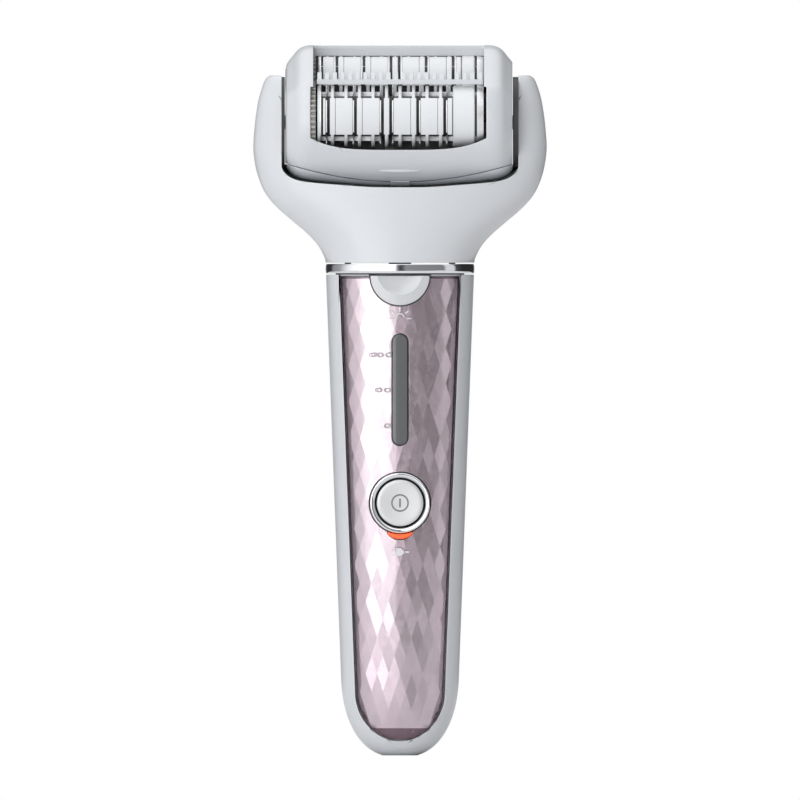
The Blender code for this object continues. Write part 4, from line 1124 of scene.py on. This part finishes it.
def gear_outline(centre, teeth, module, phase, tip):
    """A spur gear seen along its axis; tip is how far its teeth pass the pitch circle."""
    pitch_radius = teeth * module / 2
    outline = []
    for k in range(teeth):
        middle = phase + 2 * pi * k / teeth
        for radius, share in ((pitch_radius - 2.6 * tip, -0.5), (pitch_radius - 2.4 * tip, -0.34),
                              (pitch_radius + tip, -0.14), (pitch_radius + tip, 0.14),
                              (pitch_radius - 2.4 * tip, 0.34)):
            angle = middle + share * 2 * pi / teeth
            outline.append((centre[0] + radius * cos(angle), centre[1] + radius * sin(angle)))
    return outline


def sector(at, turn, spread_deg, inner, outer, low, high, steps=10):
    """A block of a hollow cylinder about the drum's axis, spread to both sides of a direction."""
    reach = radians(spread_deg)
    arc = [turn + reach * (2 * k / steps - 1) for k in range(steps + 1)]
    outline = [(at[0] + outer * cos(a), at[1] + outer * sin(a)) for a in arc]
    outline += [(at[0] + inner * cos(a), at[1] + inner * sin(a)) for a in reversed(arc)]
    return prism(outline, "x", low, high)


def along_drum(at, turn, low, high, inner, outer, half):
    """A bar along the drum at a turn about its axis, between two radii."""
    c, s = cos(turn), sin(turn)
    corners = ((inner, -half), (outer, -half), (outer, half), (inner, half))
    outline = [(at[0] + c * r - s * w, at[1] + s * r + c * w) for r, w in corners]
    return prism(outline, "x", low, high)


def drum_slots(at, row):
    """Cutters for the slots that the tweezers' bars slide in."""
    return together([along_drum(at, row + quarter * pi / 2, -24.0, 24.0, 3.9, 9.0, 1.1)
                     for quarter in SLOT_QUARTERS])


def make_drum(prefix, at, middle, row, phase, block):
    """One tweezer drum: its core, discs, blocks and gear, and its two sets of tweezers.

    middle is the place of the disc that both sets share, row the direction that its rows face,
    and block the two ends of the plain block at the right.
    """
    body = prefix + "_drum"
    discs = [middle + DISC_PITCH * k for k in range(-DISC_COUNT + 1, DISC_COUNT)]
    core = turned([(-25.2, 1.5), (-21.0, 1.5), (-20.9, 5.2), (20.9, 5.2), (21.0, 1.5),
                   (24.2, 1.5)], "x", at, 96)
    cut(core, drum_slots(at, row))
    # the core takes the near-black plastic: painted shade in the deep cells between the discs
    finish(prefix + "_drum_body", core, "drum_plastic", body, (prefix + "_drum_core",),
           look="drum_core_painted_shade")

    low, high = block
    half, chamfer = 0.42, 0.2
    plates = []
    fins = [x + DISC_PITCH / 2 for x in [discs[0] - DISC_PITCH] + discs[:-1]]
    for x in discs + fins:
        plates.append(turned_ring([(x - half, 5.0), (x + half, 5.0), (x + half, 7.65),
                                   (x + half - chamfer, 7.85), (x - half + chamfer, 7.85),
                                   (x - half, 7.65)], "x", at))
    plates.append(turned_ring([(low, 5.0), (high, 5.0), (high, 7.5), (high - 0.3, 7.9),
                               (low + 0.3, 7.9), (low, 7.5)], "x", at))
    plates = together(plates)
    cut(plates, drum_slots(at, row))
    finish(prefix + "_drum_discs", plates, "drum_plastic", body)

    spans = [(BLOCK_START, discs[0] - DISC_ROOM)]
    for left, right in zip(discs, discs[1:]):
        if right <= middle + 0.1:
            spans.append((left + DISC_HALF, right - DISC_ROOM))
        else:
            spans.append((left + DISC_ROOM, right - DISC_HALF))
    spans.append((discs[-1] + DISC_ROOM, low - 0.15))
    spans += [(x - DISC_HALF + 0.06, x + DISC_HALF - 0.06) for x in discs]
    blocks = [sector(at, row + half_turn * pi, ROW_SPREAD, 5.0, 8.02, start, end)
              for half_turn in (0, 1) for start, end in spans if end - start > 0.3]
    finish(prefix + "_drum_blocks", together(blocks), "drum_plastic", body, edge=0.16)

    first, last = GEAR_X
    module = DRUM_SPACING / DRUM_TEETH
    gear = prism(gear_outline(at, DRUM_TEETH, module, phase, 0.3), "x", first, last)
    cut(gear, rod("x", first - 1, last + 1, 1.8, at, 48))
    finish(prefix + "_drum_spur_gear", gear, "gear_nylon", body, (prefix + "_drum_gear",), 0.06)

    for name, side in (("left", -1), ("right", 1)):
        make_tweezers(prefix, name, side, at, middle, row)


def make_tweezers(prefix, name, side, at, middle, row):
    """One sliding set: an end ring, a bar in each of the drum's slots and a blade at every disc."""
    end = side * END_RING_X
    if side > 0:
        end += 0.5
    inner_end = -20.0 if side < 0 else 19.5
    ring = turned_ring([(end, 5.3), (end, 7.7), (inner_end, 7.9), (inner_end, 5.3)], "x", at, 96)
    bars = []
    for quarter in SLOT_QUARTERS:
        turn = row + quarter * pi / 2
        bars.append(along_drum(at, turn, *sorted((end - side * 0.3, middle + side * 1.5)),
                               4.3, 6.2, 0.8))
    blades = []
    for k in range(DISC_COUNT):
        near = middle + side * (DISC_PITCH * k + DISC_HALF + BLADE_GAP)
        for quarter in range(4):
            turn = row + quarter * pi / 2
            blades.append(sector(at, turn, 31, 5.5, 7.95, *sorted((near, near + side * 0.32))))
    join(ring, together(bars))
    part = together([ring] + blades)
    replaced = f"{prefix}_tweezers_{name}"
    finish(f"{prefix}_tweezer_set_{name}", part, "tweezer_steel", replaced, (replaced,), 0.05)


# ---- Back and base ----
def make_release_button():
    button = prism(release_outline(0.0), "y", 10.8, 11.9)
    join(button, rod("y", 9.2, 11.0, 1.4, (0.0, RELEASE_Z), 32))
    for z in (114.0, RELEASE_Z, 116.8):
        groove = rod("x", -3.6, 3.6, 0.28, (12.0, z), 16)
        cut(button, groove)
    finish("head_release_button", button, "white_shell", "release_button", ("release_button",),
           0.25)


def rounded_box(half_x, half_y, radius, steps=8):
    """A rectangle with round corners, seen from below."""
    corners = ((half_x - radius, half_y - radius, 0), (radius - half_x, half_y - radius, 1),
               (radius - half_x, radius - half_y, 2), (half_x - radius, radius - half_y, 3))
    return [(x + radius * cos(pi / 2 * (turn + k / steps)),
             y + radius * sin(pi / 2 * (turn + k / steps)))
            for x, y, turn in corners for k in range(steps + 1)]


def make_inlet():
    socket = prism(rounded_box(*INLET_HALF, 1.2), "z", 0.0, 9.0)
    cut(socket, prism(rounded_box(*INLET_HOLE, 0.8), "z", -1.0, 7.0))
    for side in (-1, 1):
        cut(socket, rod("z", 6.0, 10.0, 0.9, (side * 1.4, 0.0), 32))
    finish("charging_inlet_socket", socket, "black_plastic", "handle", ("inlet_socket",), 0.2)


# ---- Studio ----
# metres: width of the view, distance in front of the object, and height above its base
CAMERA_SPAN = 0.2028
CAMERA_DISTANCE = 0.6
CAMERA_HEIGHT = 0.0901


def make_camera():
    camera = bpy.data.cameras.new("camera")
    camera.type = "ORTHO"
    camera.ortho_scale = CAMERA_SPAN
    camera.clip_start = 0.01
    camera.clip_end = 10.0
    stand = bpy.data.objects.new("camera", camera)
    stand.location = (0.0, -CAMERA_DISTANCE, CAMERA_HEIGHT)
    stand.rotation_euler = (pi / 2, 0.0, 0.0)
    bpy.context.scene.collection.objects.link(stand)
    bpy.context.scene.camera = stand


# direction round the object in degrees from the front, positive to the right, and brightness there
SURROUND = (
    (-180, 0.35), (-165, 0.35), (-160, 0.04), (-126, 0.04), (-114, 0.30), (-90, 0.40), (-66, 1.05),
    (-47, 1.35), (-42, 3.2), (-24, 2.7), (-3, 2.3), (-1.2, 0.04), (1.2, 0.04), (2, 0.31),
    (20, 0.27), (50, 0.25), (55, 0.80), (72, 0.80), (78, 0.08), (97, 0.03), (118, 0.03),
    (160, 0.03), (165, 0.30), (180, 0.35),
)
OVERHEAD = 1.4                 # brightness straight above and straight below
BELOW = 0.28
BRIGHTEST = 3.2                # the largest brightness in SURROUND


def make_studio():
    """A white backdrop for the camera, and softboxes round the object for its light."""
    world = bpy.data.worlds.new("studio")
    bpy.context.scene.world = world
    world.use_nodes = True
    nodes, links = world.node_tree.nodes, world.node_tree.links
    nodes.clear()
    where = add_node(world, "TexCoord")
    parts = add_node(world, "SeparateXYZ")
    links.new(where.outputs["Generated"], parts.inputs["Vector"])

    def calculate(operation, first, second=None):
        node = add_node(world, "Math")
        node.operation = operation
        for socket, value in zip(node.inputs, (first, second)):
            if value is None:
                continue
            if isinstance(value, (int, float)):
                socket.default_value = value
            else:
                links.new(value, socket)
        return node.outputs["Value"]

    towards = calculate("MULTIPLY", parts.outputs["Y"], -1.0)
    azimuth = calculate("ARCTAN2", parts.outputs["X"], towards)
    share = calculate("MULTIPLY_ADD", azimuth, 0.5 / pi)
    share.node.inputs[2].default_value = 0.5
    ramp = add_node(world, "ValToRGB")
    ramp.color_ramp.interpolation = "LINEAR"
    stops = ramp.color_ramp.elements
    for k, (degrees, light) in enumerate(SURROUND):
        position = (degrees + 180.0) / 360.0
        stop = stops[k] if k < 2 else stops.new(position)
        stop.position = position
        level = light / BRIGHTEST
        stop.color = (level, level, level, 1.0)
    links.new(share, ramp.inputs["Fac"])
    around = calculate("MULTIPLY", ramp.outputs["Color"], BRIGHTEST)

    def blend(low, high, first, second):
        """From first to second as the direction's height goes from low to high."""
        ranger = add_node(world, "MapRange", From_Min=low, From_Max=high)
        ranger.interpolation_type = "SMOOTHSTEP"
        links.new(parts.outputs["Z"], ranger.inputs["Value"])
        mixer = add_node(world, "Mix")
        mixer.data_type = "FLOAT"
        links.new(ranger.outputs["Result"], mixer.inputs["Factor"])
        for socket, value in ((mixer.inputs["A"], first), (mixer.inputs["B"], second)):
            if isinstance(value, float):
                socket.default_value = value
            else:
                links.new(value, socket)
        return mixer.outputs["Result"]

    low_sky = blend(-0.75, -0.45, BELOW, around)
    strength = blend(0.55, 0.85, low_sky, OVERHEAD)
    studio = add_node(world, "Background", Color=(0.985, 0.99, 1.0, 1.0))
    links.new(strength, studio.inputs["Strength"])
    backdrop = add_node(world, "Background", Color=(1.0, 1.0, 1.0, 1.0))
    rays = add_node(world, "LightPath")
    chooser = add_node(world, "MixShader")
    links.new(rays.outputs["Is Camera Ray"], chooser.inputs["Fac"])
    links.new(studio.outputs["Background"], chooser.inputs[1])
    links.new(backdrop.outputs["Background"], chooser.inputs[2])
    out = add_node(world, "OutputWorld")
    links.new(chooser.outputs["Shader"], out.inputs["Surface"])
    bpy.context.scene.view_settings.view_transform = "Standard"


def make_floor():
    """A pale floor just under the object, in metres."""
    mesh = bpy.data.meshes.new("floor")
    reach, level = 0.6, -0.0006
    mesh.from_pydata([(-reach, -reach, level), (reach, -reach, level), (reach, reach, level),
                      (-reach, reach, level)], [], [[0, 1, 2, 3]])
    floor = bpy.data.objects.new("floor", mesh)
    bpy.context.scene.collection.objects.link(floor)
    surface = material("floor", (0.82, 0.82, 0.83), 0.6)
    vary_roughness(surface, 30.0, 0.55, 0.65)
    mesh.materials.append(surface)


# ---- Assembly ----
make_camera()
make_studio()
make_floor()
MATERIALS = make_materials()
for slot_name, names in NODE_SLOTS.items():
    for name in names:
        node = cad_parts[name]
        node.data.materials.clear()
        node.data.materials.append(MATERIALS[slot_name])

for make in (make_shells, make_seam_shade_strip, make_foil, make_cover, make_inserts, make_power_button,
             make_icons, make_ring, make_yoke, make_pivot_washers, make_head_base,
             make_head_shade_liner, make_slot_shutter, make_skin_frame, make_comb):
    make()
make_drum("front", FRONT_DRUM, FRONT_MIDDLE, FRONT_ROW, 0.0, (13.4, 19.0))
make_drum("rear", rear_drum_place(), REAR_MIDDLE, REAR_ROW, rear_phase(), (15.6, 19.0))
make_release_button()
make_inlet()
